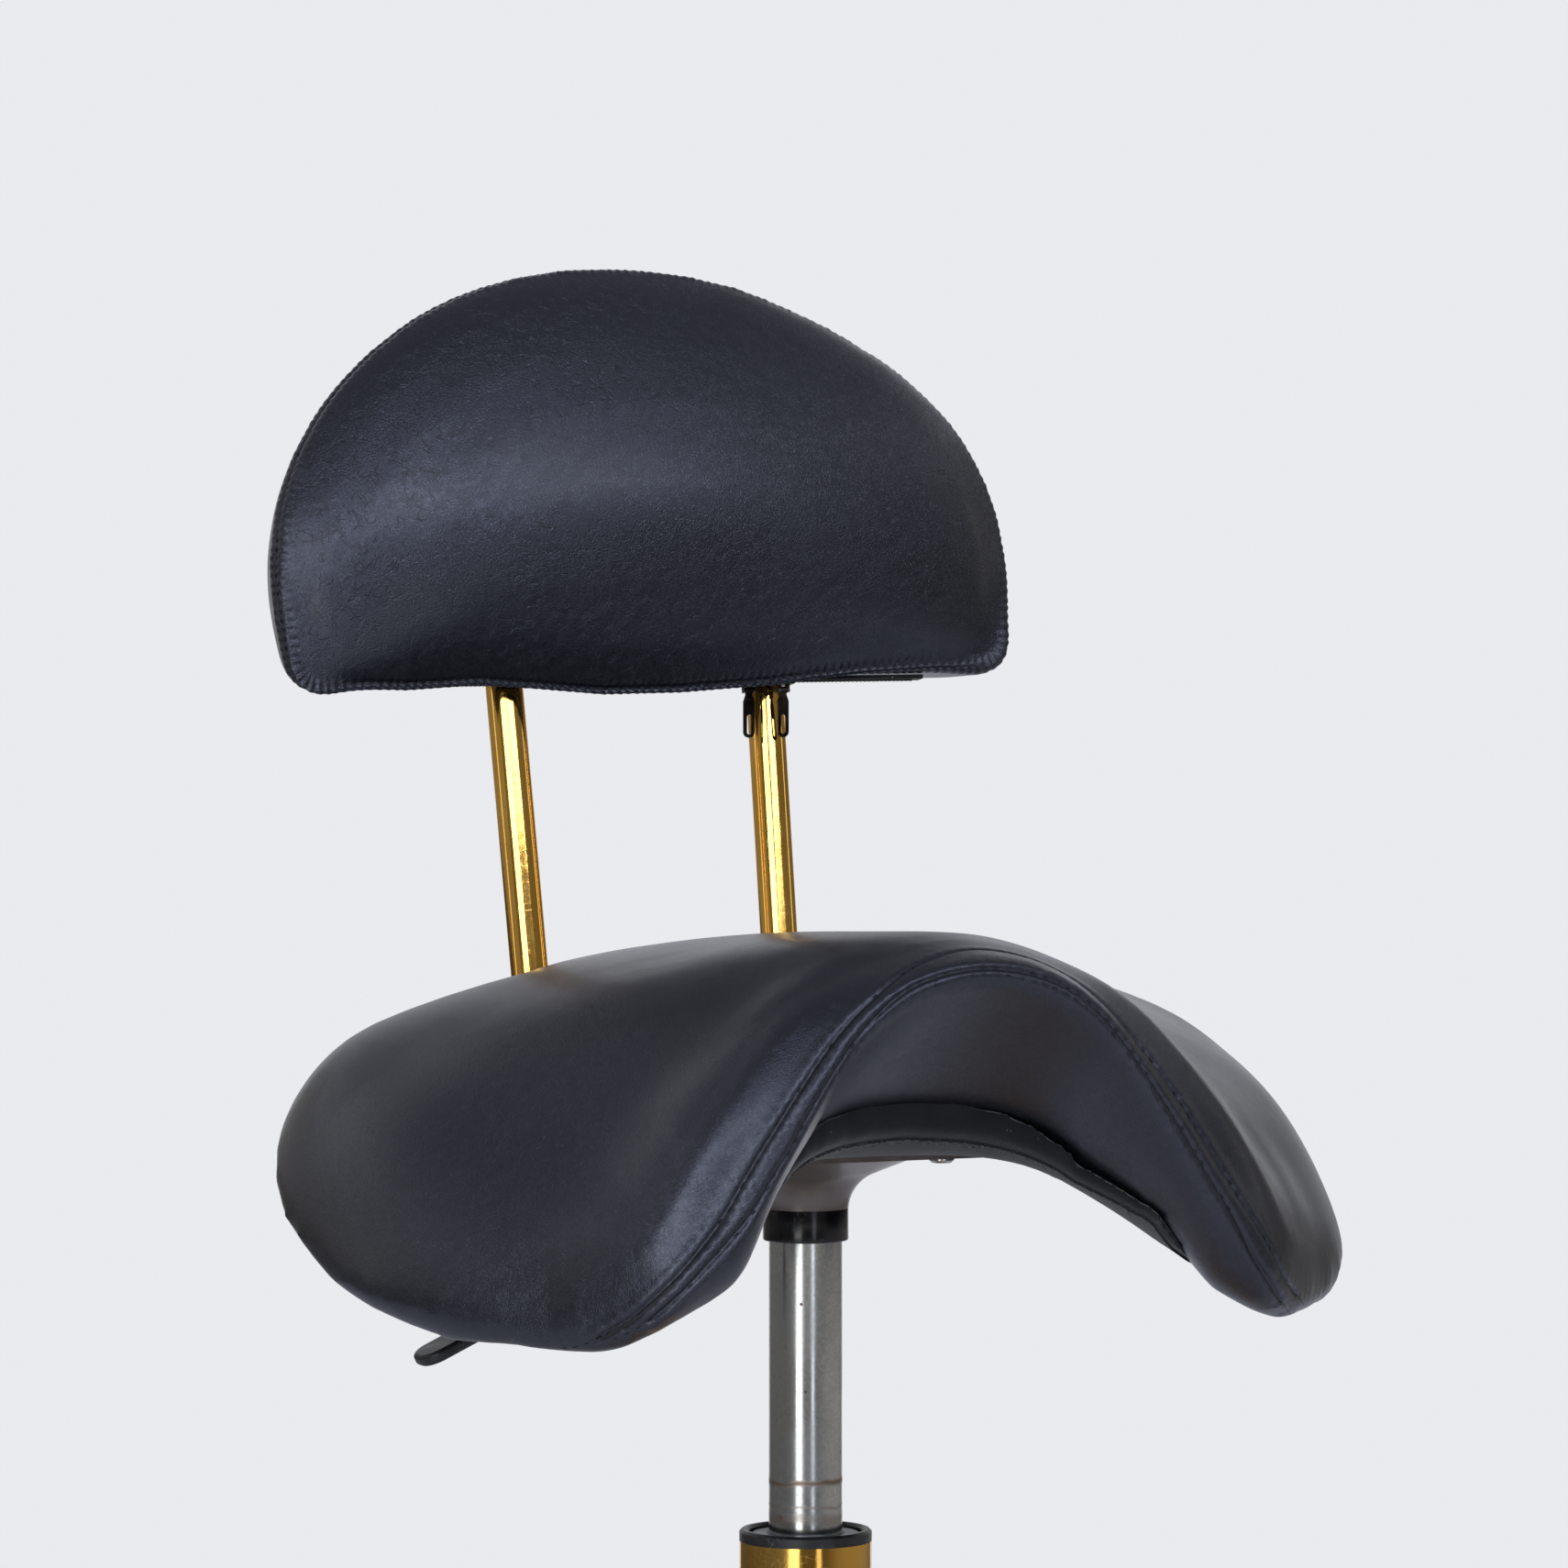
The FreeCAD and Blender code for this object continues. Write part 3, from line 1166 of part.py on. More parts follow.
def rounded_slot(centre, half, low, high):
    depth = 2 * PULL_WIDTH
    front = -ZIP_FORWARD - PULL_WIDTH
    bar = block(centre - half, centre + half, front, front + depth, low + half, high - half)
    ends = [Part.makeCylinder(half, depth, Vector(centre, front, level), BACK) for level in (low + half, high - half)]
    return fused([bar] + ends)


# Build every piece
save("base_hub", base_hub())
LEG = base_leg()
STEM = caster_stem()
HOOD = caster_hood()
AXLE = across_axle(AXLE_RADIUS, WHEEL_OUTER_FACE - AXLE_RECESS)
WHEELS = {"left": caster_wheel(1), "right": caster_wheel(-1)}
STEMS = []
for number in range(1, CASTER_COUNT + 1):
    angle = caster_angle(number - 1)
    save("base_leg_%d" % number, placed(LEG, angle))
    STEMS.append(placed(STEM, angle, CASTER_RING_RADIUS))
    save("caster_hood_%d" % number, caster_place(HOOD, number - 1))
    save("caster_axle_%d" % number, caster_place(AXLE, number - 1))
    for hand, wheel in WHEELS.items():
        save("caster_wheel_%s_%d" % (hand, number), caster_place(wheel, number - 1))
save("caster_stems", Part.makeCompound(STEMS))

save("outer_column", outer_column())
save("column_top_ring", column_top_ring())
save("guide_bush", guide_bush())
save("lower_race", race(FLOOR_OF_COLUMN, ROD_NECK_RADIUS + LOOSE_GAP))
save("thrust_balls", thrust_balls())
save("upper_race", race(UPPER_RACE_BOTTOM, ROD_NECK_RADIUS))
save("bumper", bumper())
save("piston_rod", piston_rod())
save("rod_clip", rod_clip())
save("gas_cylinder", gas_cylinder())
save("release_pin", release_pin())

save("socket_cone", socket_cone())
save("socket_collar", socket_collar())
save("seat_plate", seat_plate())
save("pan_bolts", pan_bolts())
save("lever_rod", lever_rod_and_end()[0])
save("lever_paddle", lever_paddle())
save("lever_pivot_pin", pivot_hole(PIVOT_RADIUS))

save("seat_cushion", seat_cushion())
save("seat_pan", seat_pan())
save("dust_cover", dust_cover())

save("bracket_plate", bracket_plate())
save("post_straps", post_straps())
save("post_left", drilled(post_shape(1, POST_RADIUS, POST_WALL)))
save("post_right", drilled(post_shape(-1, POST_RADIUS, POST_WALL)))
save("back_board", back_board())
save("back_screws", back_screws())
save("back_cushion", back_cushion())
save("zip_strip", zip_strip())
for hand, side in (("left", 1), ("right", -1)):
    save("zip_slider_%s" % hand, zip_slider(side))
    save("zip_pull_%s" % hand, zip_pull(side))
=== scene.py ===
import math

import bpy
import numpy as np
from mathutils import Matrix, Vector
from mathutils.bvhtree import BVHTree
from mathutils.kdtree import KDTree


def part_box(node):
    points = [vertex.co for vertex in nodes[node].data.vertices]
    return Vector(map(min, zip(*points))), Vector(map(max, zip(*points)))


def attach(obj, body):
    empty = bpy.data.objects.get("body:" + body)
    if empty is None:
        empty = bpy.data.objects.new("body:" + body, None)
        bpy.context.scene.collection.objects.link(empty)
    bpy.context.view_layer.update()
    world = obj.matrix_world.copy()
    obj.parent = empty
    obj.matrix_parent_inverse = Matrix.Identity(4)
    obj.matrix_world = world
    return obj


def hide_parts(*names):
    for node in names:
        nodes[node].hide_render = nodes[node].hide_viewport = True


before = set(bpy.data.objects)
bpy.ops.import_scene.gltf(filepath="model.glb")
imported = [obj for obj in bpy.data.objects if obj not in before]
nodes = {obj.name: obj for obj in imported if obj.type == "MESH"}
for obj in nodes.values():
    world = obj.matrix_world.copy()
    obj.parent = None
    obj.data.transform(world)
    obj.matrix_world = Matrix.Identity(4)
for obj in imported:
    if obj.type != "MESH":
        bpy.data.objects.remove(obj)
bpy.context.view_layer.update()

# Salon stool: black faux-leather saddle seat and half-moon backrest on gold posts,
# chromed gas lift and a gold star base on castors. Metres, the sitter faces -Y.

MM = 0.001
TURN = 2 * math.pi
LINE_SPLITS = 24
SIDEWAYS = np.array((1.0, 0, 0))
scene = bpy.context.scene


# ================================================================ hand tools

def pick_only(piece):
    """Leaves one object selected and active."""
    bpy.ops.object.select_all(action="DESELECT")
    piece.select_set(True)
    bpy.context.view_layer.objects.active = piece


def copy_of_node(node, name):
    """A merged copy of a CAD node's mesh, ready to be worked on as a new piece."""
    piece = bpy.data.objects.new(name, nodes[node].data.copy())
    piece.data.materials.clear()
    scene.collection.objects.link(piece)
    pick_only(piece)
    bpy.ops.object.mode_set(mode="EDIT")
    bpy.ops.mesh.select_all(action="SELECT")
    bpy.ops.mesh.remove_doubles(threshold=0.01 * MM)
    bpy.ops.object.mode_set(mode="OBJECT")
    return piece


def apply_modifier(piece, kind, **settings):
    """Adds one modifier with these settings and applies it."""
    pick_only(piece)
    modifier = piece.modifiers.new(kind.lower(), kind)
    for setting, value in settings.items():
        setattr(modifier, setting, value)
    bpy.ops.object.modifier_apply(modifier=modifier.name)


def rows_from(collection, field):
    flat = np.empty(len(collection) * 3)
    collection.foreach_get(field, flat)
    return flat.reshape(-1, 3)


def points_of(piece):
    return rows_from(piece.data.vertices, "co")


def normals_of(piece):
    return rows_from(piece.data.vertices, "normal")


def set_points(piece, points):
    piece.data.vertices.foreach_set("co", np.asarray(points).ravel())
    piece.data.update()


def edit_faces(piece, chosen):
    """Starts editing with only these faces selected, by a list of True and False."""
    pick_only(piece)
    bpy.ops.object.mode_set(mode="EDIT")
    bpy.ops.mesh.select_mode(type="FACE")
    bpy.ops.mesh.select_all(action="DESELECT")
    bpy.ops.object.mode_set(mode="OBJECT")
    piece.data.polygons.foreach_set("select", [bool(c) for c in chosen])
    bpy.ops.object.mode_set(mode="EDIT")


def subdivide_faces(piece, chosen):
    """Halves the edges of the chosen faces."""
    edit_faces(piece, chosen)
    bpy.ops.mesh.subdivide(number_cuts=1, smoothness=0.0)
    bpy.ops.mesh.select_all(action="DESELECT")
    bpy.ops.object.mode_set(mode="OBJECT")


def surface_of_nodes(*names):
    """A search tree over the faces of some CAD nodes."""
    points, faces = [], []
    for name in names:
        mesh = nodes[name].data
        first = len(points)
        points += [v.co.copy() for v in mesh.vertices]
        faces += [[first + i for i in p.vertices] for p in mesh.polygons]
    return BVHTree.FromPolygons(points, faces)


def surface_of(piece):
    mesh = piece.data
    return BVHTree.FromPolygons([v.co.copy() for v in mesh.vertices],
                                [list(p.vertices) for p in mesh.polygons])


def store(piece, name, values):
    """Keeps one number for each point of the mesh, for its material to read."""
    field = piece.data.attributes.new(name, "FLOAT", "POINT")
    field.data.foreach_set("value", np.asarray(values, dtype=np.float32))


def piece_from(name, points, faces, material):
    """A new piece from worked-out points and faces."""
    mesh = bpy.data.meshes.new(name)
    mesh.from_pydata([tuple(p) for p in points], [], faces)
    mesh.materials.append(material)
    piece = bpy.data.objects.new(name, mesh)
    scene.collection.objects.link(piece)
    return piece


def run_of(line):
    """How far along the line each of its points lies."""
    return np.concatenate([[0], np.cumsum(np.linalg.norm(np.diff(line, axis=0), axis=1))])


def smooth_line(points, step, closed=False):
    """Points along a smooth line through some given ones, a step apart."""
    p = [np.array(q, float) for q in points]
    if closed:
        p = [p[-1]] + p + [p[0], p[1]]
    else:
        p = [2 * p[0] - p[1]] + p + [2 * p[-1] - p[-2]]
    fine = []
    for a, b, c, d in zip(p, p[1:], p[2:], p[3:]):
        for t in np.linspace(0, 1, LINE_SPLITS, endpoint=False):
            fine.append(0.5 * (2 * b + (c - a) * t + (2 * a - 5 * b + 4 * c - d) * t**2
                               + (3 * b - 3 * c + d - a) * t**3))
    if not closed:
        fine.append(p[-2])
    fine = np.array(fine + ([fine[0]] if closed else []))
    along = run_of(fine)
    count = max(2, int(round(along[-1] / step)))
    places = np.linspace(0, along[-1], count + 1)
    return np.stack([np.interp(places, along, fine[:, k]) for k in range(3)], axis=1)


def laid_on(line, surface):
    """The line moved onto the nearest places of a surface."""
    return np.array([surface.find_nearest(Vector(p))[0] for p in line])


def eased(line, rounds, closed=False):
    """The line with its small wobbles averaged out; an open line keeps its ends."""
    line = np.array(line, float)
    for _ in range(rounds):
        middle = 0.25 * np.roll(line, 1, axis=0) + 0.5 * line + 0.25 * np.roll(line, -1, axis=0)
        if closed:
            line = middle
        else:
            line[1:-1] = middle[1:-1]
    return line


def smooth_step(values):
    values = np.clip(values, 0, 1)
    return values * values * (3 - 2 * values)


def bell(values, width):
    return np.exp(-(np.asarray(values) / width) ** 2)


def waves(place, seed):
    """A soft uneven number between -1 and 1 that changes along a length, the same each run."""
    total = np.zeros_like(place)
    for k, (pitch, share) in enumerate(((31.0, 0.4), (13.0, 0.3), (7.3, 0.3))):
        total += share * np.sin(TURN * place / (pitch * MM) + seed * 1.7 + k * 2.1)
    return total


def point_tree(line):
    """A search tree over the points of a line."""
    tree = KDTree(len(line))
    for i, p in enumerate(line):
        tree.insert(p, i)
    tree.balance()
    return tree


def distance_to_line(points, line, reach):
    """For each point: how far away the line is, and how far along it the nearest place lies."""
    tree = point_tree(line)
    along = run_of(line)
    low, high = line.min(0) - reach, line.max(0) + reach
    away = np.full(len(points), 1.0)
    place = np.zeros(len(points))
    inside = np.all((points > low) & (points < high), axis=1)
    for i in np.nonzero(inside)[0]:
        near = tree.find(points[i])
        away[i], place[i] = near[2], along[near[1]]
    return away, place


# ================================================================ materials

def plug(tree, node, inputs):
    """Fills a node's inputs: a socket is joined, anything else is set as a plain value."""
    for socket, value in inputs.items():
        if isinstance(value, bpy.types.NodeSocket):
            tree.links.new(value, node.inputs[socket])
        else:
            node.inputs[socket].default_value = value


def spaced(words):
    """Keyword names turned into socket names."""
    return {word.replace("_", " "): value for word, value in words.items()}


class Graph:
    """Nodes added to one shader tree and joined as they are added."""

    def __init__(self, tree):
        self.tree = tree

    def add(self, kind, inputs=None, **settings):
        node = self.tree.nodes.new("ShaderNode" + kind)
        for setting, value in settings.items():
            setattr(node, setting, value)
        plug(self.tree, node, inputs or {})
        return node

    def maths(self, operation, *values):
        return self.add("Math", dict(enumerate(values)), operation=operation).outputs[0]

    def times(self, first, second):
        return self.maths("MULTIPLY", first, second)

    def plus(self, first, second):
        return self.maths("ADD", first, second)

    def height(self, place):
        """How high a place lies."""
        return self.add("SeparateXYZ", {0: place}).outputs[2]

    def noise(self, place, scale, detail=2.0, distortion=0.0):
        return self.add("TexNoise", {"Vector": place, "Scale": scale, "Detail": detail,
                                     "Distortion": distortion}).outputs["Fac"]

    def cells(self, place, scale, feature="F1"):
        return self.add("TexVoronoi", {"Vector": place, "Scale": scale},
                        feature=feature).outputs["Distance"]

    def spread(self, value, low, high, bottom=0.0, top=1.0):
        """Maps low..high onto bottom..top with soft ends."""
        return self.add("MapRange", {"Value": value, "From Min": low, "From Max": high, "To Min": bottom,
                                     "To Max": top}, interpolation_type="SMOOTHSTEP").outputs["Result"]

    def mix(self, share, first, second):
        return self.add("Mix", {0: share, 6: first, 7: second}, data_type="RGBA").outputs[2]

    def stretched(self, place, x, y, z):
        return self.add("Mapping", {"Vector": place, "Scale": (x, y, z)}).outputs["Vector"]

    def field(self, name):
        return self.add("Attribute", attribute_name=name).outputs["Fac"]

    def bump(self, height, depth, strength=1.0):
        return self.add("Bump", {"Height": height, "Distance": depth,
                                 "Strength": strength}).outputs["Normal"]


def tint(red, green, blue):
    """A colour given as 0..255 screen values."""
    return tuple((c / 255) ** 2.2 for c in (red, green, blue)) + (1.0,)


def new_effect(name, inputs, outputs):
    """An empty shader group with named inputs and outputs."""
    tree = bpy.data.node_groups.new(name, "ShaderNodeTree")
    for label, kind, value in inputs:
        socket = tree.interface.new_socket(label, in_out="INPUT", socket_type="NodeSocket" + kind)
        if value is not None:
            socket.default_value = value
    for label, kind in outputs:
        tree.interface.new_socket(label, in_out="OUTPUT", socket_type="NodeSocket" + kind)
    graph = Graph(tree)
    return graph, tree.nodes.new("NodeGroupInput").outputs, tree.nodes.new("NodeGroupOutput")


def effect(graph, tree, **inputs):
    """One of the shared effects, placed in a material with its own values."""
    node = graph.tree.nodes.new("ShaderNodeGroup")
    node.node_tree = tree
    plug(graph.tree, node, spaced(inputs))
    return node.outputs


# Leather grain: tiny cells with fine grooves between them, and thin broken wrinkles in patches.
g, given, out = new_effect("leather grain",
                           [("Place", "Vector", None), ("Pebble Scale", "Float", 900.0),
                            ("Wrinkle Scale", "Float", 90.0), ("Wrinkle Amount", "Float", 0.5)],
                           [("Height", "Float"), ("Creases", "Float"), ("Patches", "Float")])
wobble = g.add("TexNoise", {"Vector": given["Place"], "Scale": 160.0,
                            "Detail": 2.0}).outputs["Color"]
wobble = g.add("VectorMath", {0: wobble, 1: (0.006, 0.006, 0.006)}, operation="MULTIPLY").outputs["Vector"]
bent = g.add("VectorMath", {0: given["Place"], 1: wobble}, operation="ADD").outputs["Vector"]
grooves = g.spread(g.cells(bent, given["Pebble Scale"], "DISTANCE_TO_EDGE"), 0.0, 0.22)
finer = g.noise(given["Place"], g.times(given["Pebble Scale"], 2.1), 2.0)
patches = g.noise(given["Place"], 14.0, 2.0)
nets = []
for stretch, share, width in (((0.62, 1.0, 1.25), 1.0, 0.045), ((1.5, 1.0, 0.8), 1.7, 0.06)):
    net = g.cells(g.stretched(bent, *stretch), g.times(given["Wrinkle Scale"], share),
                  "DISTANCE_TO_EDGE")
    nets.append(g.spread(net, 0.0, width, 1.0, 0.0))
broken = g.spread(g.noise(given["Place"], 210.0, 2.0), 0.47, 0.60)
where = g.spread(patches, 0.40, 0.62)
creases = g.times(g.times(g.maths("MAXIMUM", *nets), broken),
                  g.times(where, given["Wrinkle Amount"]))
height = g.plus(g.times(grooves, 0.3), g.times(finer, 0.25))
height = g.maths("SUBTRACT", height, g.times(creases, 0.75))
plug(g.tree, out, {"Height": height, "Creases": creases, "Patches": patches})
leather_grain = g.tree

# Handling marks: cloudy smears and a few specks that change how a finish shines.
g, given, out = new_effect("handling marks",
                           [("Place", "Vector", None), ("Smear Scale", "Float", 25.0),
                            ("Speck Scale", "Float", 320.0)],
                           [("Smears", "Float"), ("Specks", "Float")])
smears = g.spread(g.noise(given["Place"], given["Smear Scale"], 6.0, 0.8), 0.35, 0.7)
specks = g.spread(g.cells(given["Place"], given["Speck Scale"]), 0.10, 0.16, 1.0, 0.0)
sparse = g.noise(given["Place"], g.times(given["Speck Scale"], 0.21), 1.0)
sparse = g.spread(sparse, 0.60, 0.66)
plug(g.tree, out, {"Smears": smears, "Specks": g.times(specks, sparse)})
handling_marks = g.tree

# Fine scratches: thin lines in two crossing directions.
g, given, out = new_effect("fine scratches", [("Place", "Vector", None), ("Scale", "Float", 60.0)],
                           [("Scratches", "Float")])
lines = None
for stretch in ((1.0, 1.0, 0.08), (0.12, 0.9, 1.0)):
    thin = g.noise(g.stretched(given["Place"], *stretch), g.times(given["Scale"], 6.0), 1.0, 0.3)
    thin = g.spread(g.maths("ABSOLUTE", g.maths("SUBTRACT", thin, 0.5)), 0.0, 0.012, 1.0, 0.0)
    lines = thin if lines is None else g.maths("MAXIMUM", lines, thin)
kept = g.spread(g.noise(given["Place"], given["Scale"], 2.0), 0.52, 0.62)
plug(g.tree, out, {"Scratches": g.times(lines, kept)})
fine_scratches = g.tree

# Moulded skin: the spark-eroded texture of plastic parts.
g, given, out = new_effect("moulded skin", [("Place", "Vector", None), ("Scale", "Float", 1500.0)],
                           [("Height", "Float")])
plug(g.tree, out, {"Height": g.plus(g.noise(given["Place"], given["Scale"], 2.0),
                                    g.cells(given["Place"], given["Scale"]))})
moulded_skin = g.tree

# Cloth weave: crossing threads with uneven thickness.
g, given, out = new_effect("cloth weave", [("Place", "Vector", None), ("Threads", "Float", 1800.0)],
                           [("Height", "Float"), ("Shade", "Float")])
parts = g.add("SeparateXYZ", {0: given["Place"]}).outputs
across = g.maths("SINE", g.times(g.plus(parts[0], parts[2]), given["Threads"]))
down = g.maths("SINE", g.times(g.maths("SUBTRACT", parts[1], parts[2]), given["Threads"]))
threads = g.maths("MAXIMUM", across, down)
uneven = g.noise(given["Place"], g.times(given["Threads"], 0.35), 2.0)
plug(g.tree, out, {"Height": g.times(threads, uneven), "Shade": uneven})
cloth_weave = g.tree


def new_finish(name, **plain):
    """A material with one Principled shader; plain sockets are set by name."""
    material = bpy.data.materials.new(name)
    material.use_nodes = True
    shader = material.node_tree.nodes["Principled BSDF"]
    plug(material.node_tree, shader, spaced(plain))
    graph = Graph(material.node_tree)
    place = graph.add("TexCoord").outputs["Object"]
    return material, graph, shader, place


def drive(graph, shader, **sockets):
    """Joins changing values to the shader's own sockets."""
    plug(graph.tree, shader, spaced(sockets))


def uneven_shine(g, marks, low, high, lines, share):
    """Roughness that follows the smears and rises along scratches, seams or stains."""
    return g.plus(g.spread(marks["Smears"], 0.0, 1.0, low, high), g.times(lines, share))


def leather_finish(name, pebble, wrinkle_scale, wrinkle_amount, pebble_depth):
    material, g, shader, place = new_finish(name, Coat_Roughness=0.27, Coat_Tint=tint(236, 240, 255),
                                            Specular_IOR_Level=0.85, Specular_Tint=tint(222, 228, 252))
    grain = effect(g, leather_grain, Place=place, Pebble_Scale=pebble, Wrinkle_Scale=wrinkle_scale,
                   Wrinkle_Amount=wrinkle_amount)
    marks = effect(g, handling_marks, Place=place, Smear_Scale=16.0, Speck_Scale=240.0)
    seam = g.field("seam")
    body = g.mix(grain["Patches"], tint(8, 8, 11), tint(12, 12, 16))
    # Painted shade: the creases are darkened in the base colour.
    body = g.mix(g.times(grain["Creases"], 0.35), body, tint(9, 9, 12))
    body = g.mix(g.times(marks["Specks"], 0.2), body, tint(80, 80, 84))
    # Painted shade: the sewn groove along each row is darkened in the base colour by the seam mask.
    body = g.mix(seam, body, tint(7, 7, 9))
    rough = uneven_shine(g, marks, 0.35, 0.41, seam, 0.1)
    lift = g.bump(grain["Height"], pebble_depth)
    coat = g.spread(grain["Patches"], 0.3, 0.7, 0.2, 0.36)
    drive(g, shader, Base_Color=body, Roughness=rough, Normal=lift, Coat_Weight=coat)
    return material


seat_leather = leather_finish("seat faux leather", 1000.0, 120.0, 0.5, 0.00015)
back_leather = leather_finish("backrest faux leather", 900.0, 100.0, 1.0, 0.0002)


def gold_finish(name, rough_low, rough_high):
    material, g, shader, place = new_finish(name, Metallic=1.0)
    marks = effect(g, handling_marks, Place=place, Smear_Scale=22.0, Speck_Scale=420.0)
    scratches = effect(g, fine_scratches, Place=place, Scale=55.0)["Scratches"]
    body = g.mix(marks["Smears"], tint(226, 174, 84), tint(236, 188, 100))
    body = g.mix(g.times(marks["Specks"], 0.6), body, tint(116, 82, 38))
    body = g.mix(g.times(scratches, 0.12), body, tint(250, 232, 190))
    rough = uneven_shine(g, marks, rough_low, rough_high, scratches, 0.12)
    height = g.plus(g.noise(place, 240.0, 3.0), g.times(scratches, -0.2))
    drive(g, shader, Base_Color=body, Roughness=rough, Normal=g.bump(height, 0.00002))
    return material


post_gold = gold_finish("gold plated posts", 0.06, 0.12)
column_gold = gold_finish("gold plated column", 0.11, 0.20)
base_gold = gold_finish("gold plated base", 0.14, 0.26)


# Drying rings on the lift (height, half width, depth) and rust dots (turn from the front, height, size).
RINGS = ((0.3825, 0.0019, 0.85), (0.3733, 0.0010, 0.4), (0.3690, 0.0034, 0.4))
RUST_DOTS = ((49, 0.3938, 0.0009), (-23, 0.4177, 0.0007), (-30, 0.4509, 0.0008),
             (-67, 0.3695, 0.0016), (140, 0.402, 0.0010), (200, 0.43, 0.0008))
LIFT_RADIUS = 0.014


def chrome_finish():
    """Chrome on the lift: drying rings low down and a few rust dots."""
    material, g, shader, place = new_finish("stained chrome", Metallic=1.0)
    parts = g.add("SeparateXYZ", {0: place}).outputs
    marks = effect(g, handling_marks, Place=place, Smear_Scale=40.0, Speck_Scale=500.0)
    haze = g.noise(place, 900.0, 2.0)
    uneven = g.times(g.maths("SUBTRACT", g.noise(place, 70.0, 3.0), 0.5), 0.004)
    level = g.plus(parts[2], uneven)
    stain = None
    for height, width, depth in RINGS:
        ring = g.spread(g.maths("ABSOLUTE", g.maths("SUBTRACT", level, height)), 0.0, width, depth, 0.0)
        stain = ring if stain is None else g.maths("MAXIMUM", stain, ring)
    rust = g.times(marks["Specks"], 0.7)
    for turn, height, size in RUST_DOTS:
        spot = (LIFT_RADIUS * math.sin(math.radians(turn)), -LIFT_RADIUS * math.cos(math.radians(turn)),
                height)
        away = g.add("VectorMath", {0: place, 1: spot}, operation="DISTANCE").outputs["Value"]
        rust = g.maths("MAXIMUM", rust, g.spread(away, size * 0.5, size, 0.9, 0.0))
    body = g.mix(marks["Smears"], tint(202, 204, 204), tint(192, 194, 197))
    body = g.mix(g.spread(haze, 0.35, 0.65, 0.0, 0.35), body, tint(160, 162, 164))
    body = g.mix(stain, body, tint(122, 96, 66))
    body = g.mix(rust, body, tint(96, 62, 40))
    rough = uneven_shine(g, marks, 0.17, 0.23, stain, 0.25)
    drive(g, shader, Base_Color=body, Roughness=rough, Metallic=g.spread(rust, 0.2, 0.9, 1.0, 0.1),
          Normal=g.bump(g.noise(place, 320.0, 2.0), 0.00001))
    return material


def metal_finish(name, first, second, rough_low, rough_high, metallic=1.0, grain=300.0, coat=0.0):
    """Plain metal or paint with smears, fine scratches and a little dust in the surface."""
    material, g, shader, place = new_finish(name, Metallic=metallic, Coat_Weight=coat,
                                            Coat_Roughness=0.12)
    marks = effect(g, handling_marks, Place=place, Smear_Scale=45.0, Speck_Scale=520.0)
    scratches = effect(g, fine_scratches, Place=place, Scale=110.0)["Scratches"]
    body = g.mix(marks["Smears"], first, second)
    body = g.mix(g.times(g.maths("MAXIMUM", scratches, marks["Specks"]), 0.25), body,
                 tint(150, 148, 144))
    rough = uneven_shine(g, marks, rough_low, rough_high, scratches, 0.1)
    drive(g, shader, Base_Color=body, Roughness=rough, Normal=g.bump(g.noise(place, grain, 3.0), 0.00003))
    return material


def plastic_finish(name, first, second, rough_low, rough_high, depth=0.00004,
                   scuff=tint(120, 120, 122)):
    """Moulded plastic or rubber with scuffs."""
    material, g, shader, place = new_finish(name)
    marks = effect(g, handling_marks, Place=place, Smear_Scale=55.0, Speck_Scale=600.0)
    scratches = effect(g, fine_scratches, Place=place, Scale=80.0)["Scratches"]
    skin = effect(g, moulded_skin, Place=place, Scale=1600.0)["Height"]
    body = g.mix(marks["Smears"], first, second)
    body = g.mix(g.times(g.maths("MAXIMUM", scratches, marks["Specks"]), 0.4), body, scuff)
    rough = uneven_shine(g, marks, rough_low, rough_high, scratches, 0.15)
    height = g.maths("SUBTRACT", skin, g.times(scratches, 0.8))
    drive(g, shader, Base_Color=body, Roughness=rough, Normal=g.bump(height, depth))
    return material


def cloth_finish(name, dark, light, threads, depth):
    material, g, shader, place = new_finish(name, Sheen_Weight=0.25, Sheen_Roughness=0.5,
                                            Specular_IOR_Level=0.25)
    weave = effect(g, cloth_weave, Place=place, Threads=threads)
    marks = effect(g, handling_marks, Place=place, Smear_Scale=30.0, Speck_Scale=380.0)
    body = g.mix(weave["Shade"], dark, light)
    body = g.mix(g.times(marks["Specks"], 0.5), body, tint(150, 148, 142))
    drive(g, shader, Base_Color=body, Roughness=g.spread(marks["Smears"], 0.0, 1.0, 0.8, 0.95),
          Normal=g.bump(weave["Height"], depth))
    return material


def board_finish():
    """Black-stained plywood: plies along the edge and open grain on the faces."""
    material, g, shader, place = new_finish("stained plywood")
    grain = g.noise(g.stretched(place, 1.0, 0.09, 0.6), 420.0, 4.0, 0.4)
    plies = g.maths("SINE", g.times(g.height(place), 4200.0))
    body = g.mix(grain, tint(24, 23, 23), tint(44, 41, 39))
    body = g.mix(g.spread(plies, 0.2, 1.0, 0.0, 0.35), body, tint(60, 54, 48))
    drive(g, shader, Base_Color=body, Roughness=g.spread(grain, 0.3, 0.7, 0.55, 0.7),
          Normal=g.bump(g.plus(grain, g.times(plies, 0.3)), 0.0001))
    return material


def thread_finish(name, colour, shade):
    """Sewing thread: twisted plies that wind round each stitch."""
    material, g, shader, place = new_finish(name, Sheen_Weight=0.05, Specular_IOR_Level=0.25)
    twist = g.add("TexWave", {"Vector": place, "Scale": 900.0, "Distortion": 2.0,
                              "Detail": 2.0}).outputs["Fac"]
    drive(g, shader, Base_Color=g.mix(twist, colour, shade), Roughness=g.spread(twist, 0.0, 1.0, 0.5, 0.7),
          Normal=g.bump(twist, 0.00008))
    return material


